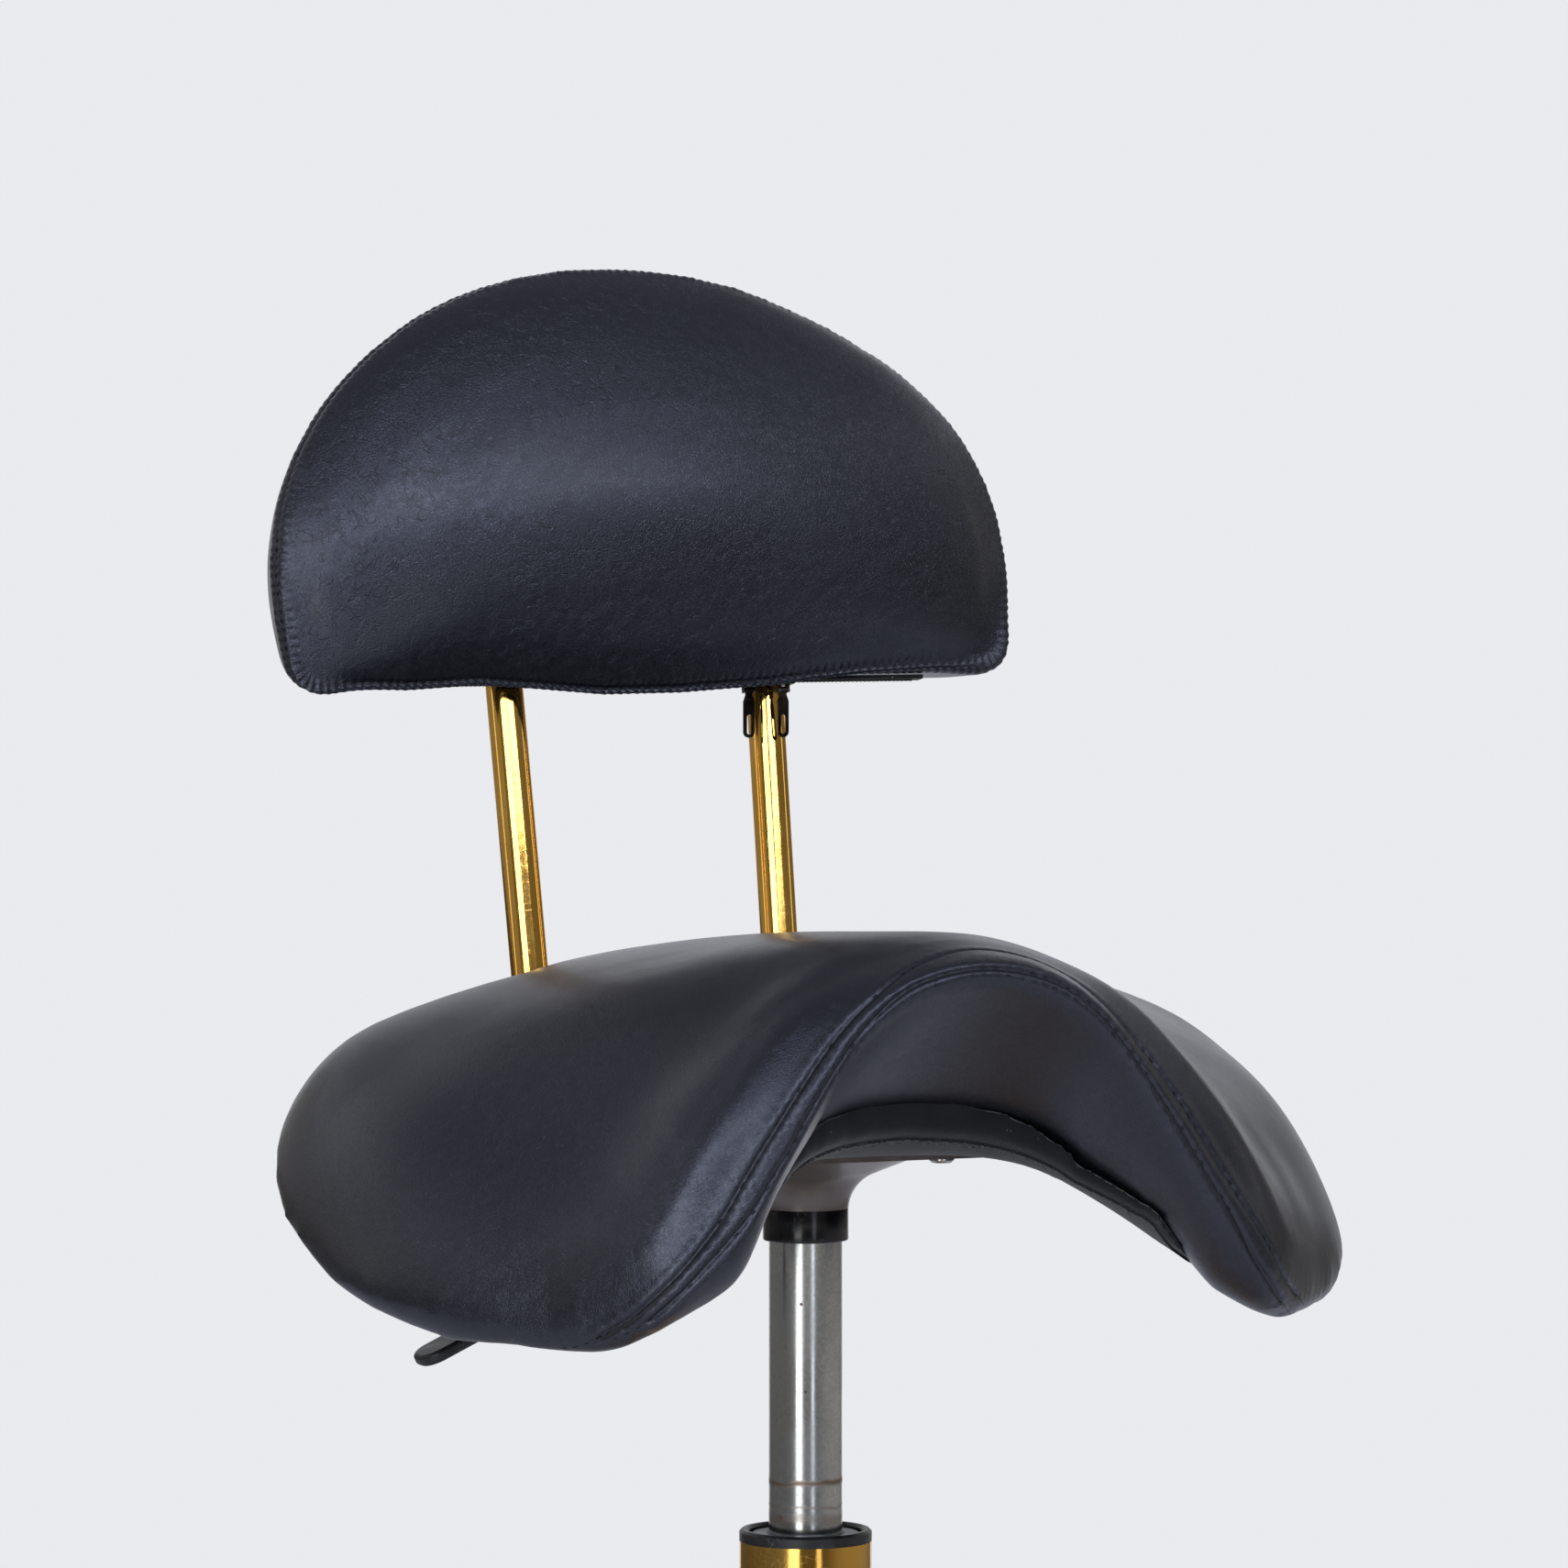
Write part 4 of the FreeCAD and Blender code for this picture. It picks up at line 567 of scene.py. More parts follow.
stained_chrome = chrome_finish()
satin_black = metal_finish("satin black paint", tint(46, 44, 43), tint(58, 55, 53), 0.26, 0.38, 0.55,
                           coat=0.25)
# Painted reflection: a lighter grey-brown copy of the satin black paint for the socket cone and seat
# plate, standing in for what the black paint reflects.
reflection_lit_black_paint = metal_finish("black paint lightened as painted reflection", tint(104, 96, 92), tint(116, 108, 103), 0.30, 0.42, 0.6,
                           coat=0.2)
zinc = metal_finish("zinc plated steel", tint(186, 187, 188), tint(160, 161, 160), 0.24, 0.42)
ground_steel = metal_finish("ground steel", tint(170, 171, 174), tint(150, 152, 156), 0.16, 0.3)
zip_black = metal_finish("dark zip metal", tint(40, 37, 35), tint(70, 64, 58), 0.24, 0.42)
collar_black = plastic_finish("gloss black plastic", tint(17, 17, 19), tint(24, 24, 27), 0.16, 0.26,
                              0.00001)
ring_black = plastic_finish("satin black plastic", tint(24, 24, 26), tint(34, 34, 36), 0.34, 0.46)
bush_grey = plastic_finish("grey bush plastic", tint(116, 117, 120), tint(136, 137, 139), 0.42, 0.58,
                           0.00005, tint(206, 206, 205))
hood_black = plastic_finish("black castor nylon", tint(22, 22, 24), tint(32, 32, 33), 0.38, 0.5,
                            0.00006)
tread_grey = plastic_finish("soft castor tread", tint(38, 38, 40), tint(52, 51, 50), 0.5, 0.66,
                            0.00005)
rubber = plastic_finish("black rubber", tint(20, 20, 21), tint(28, 28, 28), 0.6, 0.75)
board = board_finish()
under_cloth = cloth_finish("black lining cloth", tint(14, 14, 16), tint(30, 30, 33), 5200.0, 0.00006)
tape_cloth = cloth_finish("zip tape", tint(18, 18, 20), tint(34, 34, 37), 4200.0, 0.0001)
black_thread = thread_finish("black thread", tint(10, 10, 13), tint(26, 26, 31))


def dress(material, *names):
    """Gives CAD nodes a better material, in every slot they have."""
    for name in names:
        for material_slot in nodes[name].material_slots:
            material_slot.material = material


five = range(1, 6)
hands = ("left", "right")
dress(post_gold, "post_left", "post_right")
dress(column_gold, "outer_column")
dress(base_gold, "base_hub", *[f"base_leg_{k}" for k in five])
dress(stained_chrome, "gas_cylinder")
dress(reflection_lit_black_paint, "socket_cone", "seat_plate")
dress(satin_black, "bracket_plate", "post_straps", "lever_rod")
dress(collar_black, "socket_collar")
dress(ring_black, "column_top_ring", "lever_paddle")
dress(bush_grey, "guide_bush")
dress(zinc, "pan_bolts", "back_screws", "caster_stems", "rod_clip",
      *[f"caster_axle_{k}" for k in five])
dress(ground_steel, "lower_race", "upper_race", "thrust_balls", "piston_rod", "release_pin",
      "lever_pivot_pin")
dress(rubber, "bumper")
dress(hood_black, *[f"caster_hood_{k}" for k in five])
dress(tread_grey, *[f"caster_wheel_{hand}_{k}" for hand in hands for k in five])
dress(board, "back_board")
dress(tape_cloth, "zip_strip")
dress(zip_black, *[f"zip_{part}_{hand}" for part in ("slider", "pull") for hand in hands])


# ================================================================ stuffed covers

HOLD_CORE = 1.5 * MM
HOLD_REACH = 12 * MM
CLOTH_FRAMES = 20
CLOTH_PRESSURE = 4.0
SWELL_LIMIT = 3.0 * MM
EVEN_ROUNDS = 24
LAST_ROUNDS = 6
DRAW_IN = 0.4 * MM
CLOTH_SETTINGS = {"use_pressure": True, "uniform_pressure_force": CLOTH_PRESSURE,
                  "tension_stiffness": 40.0, "compression_stiffness": 40.0,
                  "shear_stiffness": 25.0, "bending_stiffness": 5.0}


def even_out(piece, values, rounds):
    """Spreads numbers held at the points over their neighbours."""
    count = len(piece.data.vertices)
    pairs = np.empty(len(piece.data.edges) * 2, dtype=np.int64)
    piece.data.edges.foreach_get("vertices", pairs)
    first, second = pairs[0::2], pairs[1::2]
    joined = np.maximum(np.bincount(first, minlength=count) + np.bincount(second, minlength=count), 1)
    for _ in range(rounds):
        total = np.bincount(first, values[second], count) + np.bincount(second, values[first], count)
        values = 0.5 * values + 0.5 * total / joined
    return values


def evened(piece, rows, rounds):
    """Places or directions averaged over their neighbours on the mesh."""
    return np.stack([even_out(piece, column, rounds) for column in rows.T], axis=1)


def soften(piece, share, rounds):
    """Rounds the mesh off, by a share from 0 to 1 at each point."""
    points = points_of(piece)
    set_points(piece, points + (evened(piece, points, rounds) - points) * share[:, None])


def soft_normals(piece, rounds):
    """The outward directions averaged, so that a rim is moved in one piece."""
    normals = evened(piece, normals_of(piece), rounds)
    return normals / np.maximum(np.linalg.norm(normals, axis=1), 1e-9)[:, None]


def puff_up(piece, neighbours):
    """Stuffs a closed skin with cloth pressure: it swells square to itself, up to the limit.

    It is held near the hard pieces that it lies on.
    """
    start, outward = points_of(piece), normals_of(piece)
    touching = surface_of_nodes(*neighbours)
    hold = np.zeros(len(start))
    for i, p in enumerate(start):
        near = touching.find_nearest(Vector(p), HOLD_REACH)
        if near[0] is not None:
            hold[i] = 1.0 - min(1.0, max(0.0, (near[3] - HOLD_CORE) / (HOLD_REACH - HOLD_CORE)))
    group = piece.vertex_groups.new(name="held")
    for i in np.nonzero(hold > 0)[0]:
        group.add([int(i)], float(hold[i]), "REPLACE")
    pick_only(piece)
    cloth = piece.modifiers.new("stuffing", "CLOTH")
    for setting, value in CLOTH_SETTINGS.items():
        setattr(cloth.settings, setting, value)
    cloth.settings.effector_weights.gravity = 0.0
    cloth.settings.vertex_group_mass = group.name
    cloth.point_cache.frame_start = 1
    cloth.point_cache.frame_end = CLOTH_FRAMES
    for step in range(1, CLOTH_FRAMES + 1):
        scene.frame_set(step)
    bpy.ops.object.modifier_apply(modifier=cloth.name)
    scene.frame_set(1)
    swell = ((points_of(piece) - start) * outward).sum(axis=1)
    swell = np.clip(even_out(piece, swell, EVEN_ROUNDS), -DRAW_IN, SWELL_LIMIT)
    swell = even_out(piece, swell * (1.0 - hold), LAST_ROUNDS)
    set_points(piece, start + outward * swell[:, None])
    piece.vertex_groups.clear()


def padded_skin(node, name, voxel, shrink, neighbours):
    """The stuffed cover of a cushion: the CAD form remeshed, drawn in a little, then puffed up."""
    piece = copy_of_node(node, name)
    apply_modifier(piece, "REMESH", mode="VOXEL", voxel_size=voxel)
    apply_modifier(piece, "SMOOTH", factor=0.5, iterations=4)
    set_points(piece, points_of(piece) - normals_of(piece) * shrink)
    puff_up(piece, neighbours)
    apply_modifier(piece, "SUBSURF", levels=1, render_levels=1)
    return piece


FINE_REACHES = (10 * MM, 6 * MM)
FINE_MARGIN = 12 * MM
SEAM_REACH = 16 * MM
SEAM_FADE = 22 * MM


def sew(piece, rows, groove, width, pucker, pitch, spread, closed=False):
    """Presses sewn rows into a skin: a groove along each, with gathers beside the stitches."""
    for reach in FINE_REACHES:
        centres = rows_from(piece.data.polygons, "center")
        near = np.zeros(len(centres), bool)
        for row in rows:
            near |= distance_to_line(centres, row, FINE_MARGIN)[0] < reach
        subdivide_faces(piece, near)
    points, normals = points_of(piece), soft_normals(piece, 10)
    lift = np.zeros(len(points))
    seam = np.zeros(len(points))
    for seed, row in enumerate(rows):
        away, place = distance_to_line(points, row, SEAM_REACH)
        whole = np.linalg.norm(np.diff(row, axis=0), axis=1).sum()
        kept = 1.0
        if not closed:
            kept = smooth_step(place / SEAM_FADE) * smooth_step((whole - place) / SEAM_FADE)
        away = away + 4 * width * (1 - kept)
        lift -= groove * bell(away, width)
        lift += 0.2 * groove * bell(away - 3.0 * width, 1.6 * width)
        gather = np.sin(TURN * place / pitch + 0.8 * waves(place, seed))
        lift += pucker * gather * (0.7 + 0.3 * waves(place, seed + 5)) * bell(away, spread)
        seam = np.maximum(seam, bell(away, 0.9 * width))
    set_points(piece, points + normals * lift[:, None])
    # The seam mask is read by the leather to roughen the groove and to paint shade into it.
    store(piece, "seam", seam)


def stitch_shape():
    """One stitch lying along X: a short twisted thread, thicker in the middle, its ends sunk."""
    bpy.ops.object.select_all(action="DESELECT")
    bpy.ops.mesh.primitive_cylinder_add(vertices=6, radius=1.0, depth=2.0,
                                        rotation=(0, math.pi / 2, 0))
    shape = bpy.context.object
    bpy.ops.object.transform_apply(location=False, rotation=True, scale=False)
    bpy.ops.object.mode_set(mode="EDIT")
    for side in (0.0, -0.6, 0.6):
        bpy.ops.mesh.select_all(action="SELECT")
        bpy.ops.mesh.bisect(plane_co=(side, 0, 0), plane_no=(1, 0, 0))
    bpy.ops.object.mode_set(mode="OBJECT")
    points = points_of(shape)
    slim = 1.0 - 0.55 * np.abs(points[:, 0]) ** 3
    points[:, 1] *= slim
    points[:, 2] = points[:, 2] * slim - 0.8 * points[:, 0] ** 2
    faces = [list(p.vertices) for p in shape.data.polygons]
    bpy.data.objects.remove(shape)
    return points, faces


STITCH_POINTS, STITCH_FACES = stitch_shape()


def stitches(name, rows, surface, material, pitch, length, thickness, sink):
    """Rows of stitches as one piece, each a copy of the one stitch laid along its row."""
    points, faces = [], []
    for row in rows:
        along = run_of(row)
        for place in np.arange(pitch / 2, along[-1], pitch):
            here = np.array([np.interp(place, along, row[:, k]) for k in range(3)])
            ahead = np.array([np.interp(place + 0.5 * MM, along, row[:, k]) for k in range(3)])
            way = (ahead - here) / max(np.linalg.norm(ahead - here), 1e-9)
            spot, up, _, _ = surface.find_nearest(Vector(here))
            up = np.array(up)
            side = np.cross(up, way)
            side /= max(np.linalg.norm(side), 1e-9)
            up = np.cross(way, side)
            first = len(points)
            middle = np.array(spot) - up * sink
            for x, y, z in STITCH_POINTS:
                points.append(middle + way * x * length / 2 + side * y * thickness / 2
                              + up * z * thickness / 2)
            faces += [[first + i for i in face] for face in STITCH_FACES]
    piece = piece_from(name, points, faces, material)
    piece.data.shade_smooth()
    return piece


ROLL_HEIGHT = 10.0 * MM
ROLL_START = 6 * MM
ROLL_PLACE = 20 * MM
ROLL_END = 58 * MM
ROLL_DIP = 0.1
ROLL_FAR_SIDE = 0.85
ROLL_FOOT, ROLL_FULL = 450 * MM, 535 * MM
ROLL_FADE = 24 * MM
ROLL_REACH = ROLL_END + 60 * MM
ROLL_INNER, ROLL_INNER_FADE = 30 * MM, 45 * MM
ROLL_PAST = 16 * MM
SEAM_PRESS = 2.0 * MM
SEAM_PRESS_WIDTH = 8 * MM
CALM_FROM, CALM_FADE = 12 * MM, 16 * MM


def raise_front_roll(piece, line, surface):
    """The soft roll that runs down each flank behind the front seam, with a shallow dip behind it.

    It is fuller on the sitter's right, and runs out above the tips of the wings.
    """
    ways = np.gradient(line, axis=0)
    ways /= np.linalg.norm(ways, axis=1)[:, None]
    ups = eased([surface.find_nearest(Vector(p))[1] for p in line], 60)
    sides = np.cross(ways, ups)
    sides /= np.linalg.norm(sides, axis=1)[:, None]
    sides *= np.sign(sides[:, 1] + 0.3 * sides[:, 2])[:, None]
    tree = point_tree(line)
    points, normals = points_of(piece), soft_normals(piece, 12)
    lift = np.zeros(len(points))
    far = np.zeros(len(points))
    for i, point in enumerate(points):
        spot, k, away = tree.find(point)
        far[i] = away
        offset = point - line[k]
        beside = offset @ sides[k]
        if away > ROLL_REACH:
            continue
        past = abs(offset @ ways[k])
        if beside < ROLL_PLACE:
            rise = smooth_step((beside + ROLL_START) / (ROLL_PLACE + ROLL_START))
        elif beside < ROLL_END:
            rise = 1 - (1 + ROLL_DIP) * smooth_step((beside - ROLL_PLACE) / (ROLL_END - ROLL_PLACE))
        else:
            rise = -ROLL_DIP * bell(beside - ROLL_END, ROLL_FADE)
        facing = smooth_step((normals[i] @ ups[k] - 0.05) / 0.5)
        flank = smooth_step((abs(point[0]) - ROLL_INNER) / ROLL_INNER_FADE)
        running = smooth_step((point[2] - ROLL_FOOT) / (ROLL_FULL - ROLL_FOOT))
        fullness = ROLL_HEIGHT * running * (1.0 if point[0] < 0 else ROLL_FAR_SIDE)
        press = SEAM_PRESS * (0.3 + 0.7 * running)
        lift[i] = (fullness * rise * flank * bell(past, ROLL_PAST)
                   - press * bell(away, SEAM_PRESS_WIDTH)) * facing
    lift = even_out(piece, lift, 10)
    calm = smooth_step((far - CALM_FROM) / CALM_FADE)
    lift = lift * (1 - calm) + even_out(piece, lift, 90) * calm
    set_points(piece, points + normals * lift[:, None])


SHOULDER = np.array((172, 25, 540)) * MM
SHOULDER_FULLNESS = 3.0 * MM
SHOULDER_REACH = 55 * MM


def fill_shoulders(piece):
    """The foam stands fuller on the outer shoulder of each wing."""
    points, normals = points_of(piece), normals_of(piece)
    for side in (-1, 1):
        away = np.linalg.norm(points - SHOULDER * (side, 1, 1), axis=1)
        facing = smooth_step(normals @ np.array((side * 0.6, 0, 0.8)) / 0.5)
        points = points + normals * (SHOULDER_FULLNESS * bell(away, SHOULDER_REACH) * facing)[:, None]
    set_points(piece, points)


# The wing's lower rim hangs fuller: places along it, and how far it drops at each.
RIM_LINE = [(204, 40, 516), (203, 10, 508), (202, -32, 488), (195, -57, 477), (185, -78, 466),
            (165, -112, 461), (145, -134, 457)]
RIM_DROPS = (4.0, 10.5, 12.5, 11.0, 8.0, 4.5, 4.5)
RIM_REACH = 27 * MM
RIM_FAR = 70 * MM
RIM_TOP, RIM_FADE = 532 * MM, 34 * MM
RIM_INNER, RIM_INNER_FADE = 95 * MM, 30 * MM
RIM_ROUNDS = 50


def soften_rims(piece):
    """Rounds the hard lower rim of the wings, where the cover turns under."""
    points = points_of(piece)
    low = smooth_step((RIM_TOP - points[:, 2]) / RIM_FADE)
    wide = smooth_step((np.abs(points[:, 0]) - RIM_INNER) / RIM_INNER_FADE)
    soften(piece, low * wide, RIM_ROUNDS)


def fill_rims(piece):
    """The lower rim of each wing hangs out and down a little further than the foam."""
    points = points_of(piece)
    for side in (-1, 1):
        corners = np.array(RIM_LINE) * MM * np.array((side, 1, 1))
        away, place = distance_to_line(points, smooth_line(corners, 1 * MM), RIM_FAR)
        drop = np.interp(place, run_of(corners), np.array(RIM_DROPS) * MM) * bell(away, RIM_REACH)
        points = points + np.array((side * 0.4, -0.08, -0.91)) * drop[:, None]
    set_points(piece, points)


# The front panel's hem hangs lower beside each tip: middle of each fullness, its drop and its reach.
HEM_FULLNESS = (((-92, -158, 487), 5.0, 18), ((118, -155, 462), 4.0, 20), ((-150, -128, 450), 2.0, 22))


def fill_hem(piece):
    """Drops the hem by these places, and draws it a little towards the middle."""
    points = points_of(piece)
    for place, drop, reach in HEM_FULLNESS:
        away = np.linalg.norm(points - np.array(place) * MM, axis=1)
        down = np.array((np.sign(-place[0]) * 0.3, 0, -0.95))
        points = points + down * (drop * MM * bell(away, reach * MM))[:, None]
    set_points(piece, points)


BRINK_REACH = 9 * MM
BRINK_END, BRINK_FADE = 72 * MM, 30 * MM
BRINK_ROUNDS = 24


def soften_brink(piece, line):
    """Rounds the brink of the crest more, where the lower row is sewn."""
    points = points_of(piece)
    away, _ = distance_to_line(points, line, 30 * MM)
    soften(piece, bell(away, BRINK_REACH) * smooth_step((BRINK_END - np.abs(points[:, 0])) / BRINK_FADE),
           BRINK_ROUNDS)


# The two sewn rows along the front, from the tip of one wing over the crest to the tip of the other.
UPPER_SEAM = [(-150, -124, 450.4), (-142, -135, 454.9), (-137, -144, 460.2), (-130, -151, 466.9),
              (-120, -160, 479.1), (-114, -161, 485.4), (-108, -161, 491.8), (-101, -161, 500.3),
              (-91, -161, 516.3), (-80, -162, 533.3), (-66, -161, 552.4), (-58, -161, 563.3),
              (-49, -160, 571.9), (-44, -160, 576.3), (-38, -159, 581), (-32, -157, 585),
              (-24, -155, 588.3), (-15, -153, 591.2), (-6, -151, 592.6), (1, -150, 593.3),
              (9, -150, 592.8), (16, -151, 591.9), (26, -152, 589.5), (37, -153, 585.6),
              (44, -154, 581.5), (50, -156, 576), (57, -157, 569.3), (64, -158, 561.5),
              (73, -160, 548.3), (83, -161, 532.7), (90, -161, 521.8), (98, -161, 510),
              (105, -161, 497.4), (111, -161, 488.6), (118, -160, 478.8), (126, -156, 469.5),
              (136, -146, 462.4), (141, -140, 459), (147, -132, 454.5)]
LOWER_SEAM = [(-137, -142, 456), (-128, -154, 462.5), (-121, -160, 470), (-112, -163, 480),
              (-101, -164, 491.5), (-92, -164, 500.8), (-87, -164, 507.5), (-83, -164, 514.5),
              (-77, -163, 522.5), (-73, -163, 529.9), (-68, -163, 538.2), (-62, -163, 547),
              (-56, -163, 554.8), (-49, -163, 563.4), (-41, -164, 572.2), (-37, -164, 576.2),
              (-32, -164, 579.8), (-26, -164, 583), (-17, -164, 585.6), (-8, -164, 587.1),
              (1, -164, 587.5), (10, -164, 586.9), (20, -164, 584.9), (27, -164, 582.6),
              (33, -164, 579.9), (39, -164, 576.2), (45, -164, 571.8), (52, -164, 564.8),
              (58, -164, 556.5), (64, -164, 547.8), (74, -164, 533.7), (83, -164, 519.8),
              (90, -164, 508.6), (96, -164, 499.8), (101, -164, 491.8), (105, -163, 484.4),
              (111, -162, 475), (118, -160, 466.9), (125, -155, 460.2), (135, -140, 453.9)]

SEAT_PITCH = 5.0 * MM
SEAM_STEP = 0.5 * MM
SEAT_GROOVE = SEAT_GROOVE_WIDTH = 1.0 * MM
SEAT_PUCKER, SEAT_PUCKER_SPREAD = 0.09 * MM, 4.0 * MM

seat_cover = padded_skin("seat_cushion", "seat_cover", 5 * MM, 0.4 * MM,
                         ("seat_pan", "dust_cover", "bracket_plate"))
fill_shoulders(seat_cover)
soften_rims(seat_cover)
fill_rims(seat_cover)
fill_hem(seat_cover)
soften_brink(seat_cover, smooth_line(np.array(LOWER_SEAM) * MM, 1 * MM))
surface = surface_of(seat_cover)
upper_line = eased(laid_on(smooth_line(np.array(UPPER_SEAM) * MM, SEAM_STEP), surface), 80)
raise_front_roll(seat_cover, upper_line, surface)
surface = surface_of(seat_cover)
seat_rows = [eased(laid_on(eased(smooth_line(np.array(row) * MM, SEAM_STEP), 120), surface), 40)
             for row in (UPPER_SEAM, LOWER_SEAM)]
sew(seat_cover, seat_rows, SEAT_GROOVE, SEAT_GROOVE_WIDTH, SEAT_PUCKER, SEAT_PITCH, SEAT_PUCKER_SPREAD)
seat_cover.data.shade_smooth()
seat_cover.data.materials.append(seat_leather)
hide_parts("seat_cushion")
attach(seat_cover, "seat")

seat_stitches = stitches("seat_stitches", seat_rows, surface_of(seat_cover), black_thread,
                         pitch=SEAT_PITCH, length=4.0 * MM, thickness=0.75 * MM, sink=0.2 * MM)
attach(seat_stitches, "seat")

# How far the front edge of the pan and its lining sits above the CAD board, by distance from the
# middle: a little at the crest, below it on the flanks, most at the corners, which tuck into the cover.
PAN_EASE_PLACES = (0, 25, 42, 59, 76, 90, 97, 103, 110, 125)
PAN_EASE_LIFTS = (5.0, 3.0, 0.6, -2.0, 0.8, 2.8, 5.4, 8.4, 11.0, 12.0)
PAN_EASE_FROM, PAN_EASE_FADE = 45 * MM, 60 * MM
PAN_TUCK = 10 * MM


def let_in(points):
    """Where points of the pan or its lining go near the front edge."""
    lift = np.interp(np.abs(points[:, 0]), np.array(PAN_EASE_PLACES) * MM,
                     np.array(PAN_EASE_LIFTS) * MM)
    front = smooth_step((-points[:, 1] - PAN_EASE_FROM) / PAN_EASE_FADE)
    corner = np.clip(lift / PAN_TUCK, 0, 1) * np.sign(points[:, 0])
    inward = np.stack([0.5 * corner, 0.2 * np.abs(corner), np.full(len(points), 0.85)], axis=1)
    return points + inward * (lift * front)[:, None]


seat_board = copy_of_node("seat_pan", "seat_board")
apply_modifier(seat_board, "REMESH", mode="VOXEL", voxel_size=3 * MM)
apply_modifier(seat_board, "SMOOTH", factor=0.5, iterations=10)
under_lining = copy_of_node("dust_cover", "under_lining")
for _ in range(2):
    subdivide_faces(under_lining, [True] * len(under_lining.data.polygons))
for piece, node, slot_name in ((seat_board, "seat_pan", "pan_board"),
                               (under_lining, "dust_cover", "dark_cloth")):
    set_points(piece, let_in(points_of(piece)))
    pick_only(piece)
    bpy.ops.object.shade_smooth_by_angle(angle=math.radians(40))
    piece.data.materials.append(under_cloth)
    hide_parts(node)
    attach(piece, "seat")

# The backrest leans back with its posts: its own flat frame, turned about X, then moved to its foot.
LEAN = math.radians(-11.2)
BACK_FOOT = Vector((0, 0.17304, 0.67997))
EDGE_FORWARD = 21 * MM


def from_backrest(x, y, z):
    """A place in the backrest's own frame (-y to its front, z up its face) in the stool's frame."""
    return Vector((x, y * math.cos(LEAN) - z * math.sin(LEAN),
                   y * math.sin(LEAN) + z * math.cos(LEAN))) + BACK_FOOT


def in_backrest(points):
    """Places of the stool's frame in the backrest's own frame, the other way round."""
    away = np.asarray(points) - np.array(BACK_FOOT)
    return np.stack([away[:, 0], away[:, 1] * math.cos(LEAN) + away[:, 2] * math.sin(LEAN),
                     away[:, 2] * math.cos(LEAN) - away[:, 1] * math.sin(LEAN)], axis=1)


BACK_FORWARD = np.array(from_backrest(0, -1, 0) - BACK_FOOT)
BACK_UP = np.array(from_backrest(0, 0, 1) - BACK_FOOT)
BACK_MIDDLE = 75 * MM
CROWN_RISE = 11 * MM
CROWN_DROP = 4 * MM
CROWN_HALF_WIDTH = 150 * MM
CROWN_MIDDLE = 84 * MM
CROWN_HALF_HEIGHT = 84 * MM
CROWN_FADE = 14 * MM
ROLL_UNDER = 9 * MM
ROLL_UNDER_FROM = 72 * MM


def crown_backrest(piece):
    """Curves the face: out in its middle, back towards its sides, and rolled under at the bottom."""
    points = points_of(piece)
    x, y, z = in_backrest(points).T
    bulge = (CROWN_RISE * (1 - (x / CROWN_HALF_WIDTH) ** 2)
             * (1 - ((z - CROWN_MIDDLE) / CROWN_HALF_HEIGHT) ** 2))
    bulge -= ROLL_UNDER * np.clip((ROLL_UNDER_FROM - z) / ROLL_UNDER_FROM, 0, 1.1) ** 2
    share = smooth_step((-y - EDGE_FORWARD) / CROWN_FADE)
    set_points(piece, points + BACK_FORWARD * ((bulge - CROWN_DROP) * share)[:, None])


# How far the real outline stands out from the even half-moon, by the turn round its middle in
# degrees from the sitter's left.
OUTLINE_TURNS = (-180, -170, -150, -90, -40, 0, 8, 18, 30, 45,
                 60, 75, 90, 100, 115, 130, 142, 157, 170, 180)
OUTLINE_SHIFTS = (0.6, 0.8, 0.0, 0.0, 0.0, 1.6, 1.0, -1.2, -3.0, -3.0,
                  -1.6, -1.2, -0.2, 0.3, 1.5, 2.4, 2.4, 0.4, 0.0, 0.6)
OUTLINE_FROM, OUTLINE_FADE = 30 * MM, 50 * MM


def shape_outline(piece):
    """The hand-sewn cover isn't an even half-moon: fuller at one shoulder, flatter at the other."""
    points = points_of(piece)
    x, y, z = in_backrest(points).T
    turn = np.degrees(np.arctan2(z - BACK_MIDDLE, x))
    outward = smooth_step((np.hypot(x, z - BACK_MIDDLE) - OUTLINE_FROM) / OUTLINE_FADE)
    shift = np.interp(turn, OUTLINE_TURNS, OUTLINE_SHIFTS) * MM * outward
    across = np.cos(np.radians(turn)) * shift
    along = np.sin(np.radians(turn)) * shift
    set_points(piece, points + SIDEWAYS * across[:, None] + BACK_UP * along[:, None])


# How far the cover's front edge hangs below the foam, along the backrest.
SAG_PLACES = (-157, -136, -105, -75, -50, -23, 10, 49, 90, 136, 157)
SAG_DEPTHS = (3.6, 5.4, 6.6, 4.8, 6.8, 9.4, 9.0, 6.4, 1.6, -1.4, -1.0)
SAG_TOP, SAG_FADE = 30 * MM, 26 * MM
SAG_FRONT, SAG_FRONT_FADE = 15 * MM, 9 * MM
# Side, pull outwards and drop of each lower corner.
CORNERS = ((-1, 1.5 * MM, 5.0 * MM), (1, 3.5 * MM, 2.2 * MM))
CORNER_SIDE, CORNER_FRONT, CORNER_RISE = 150 * MM, 19 * MM, 3 * MM
CORNER_REACH = 17 * MM


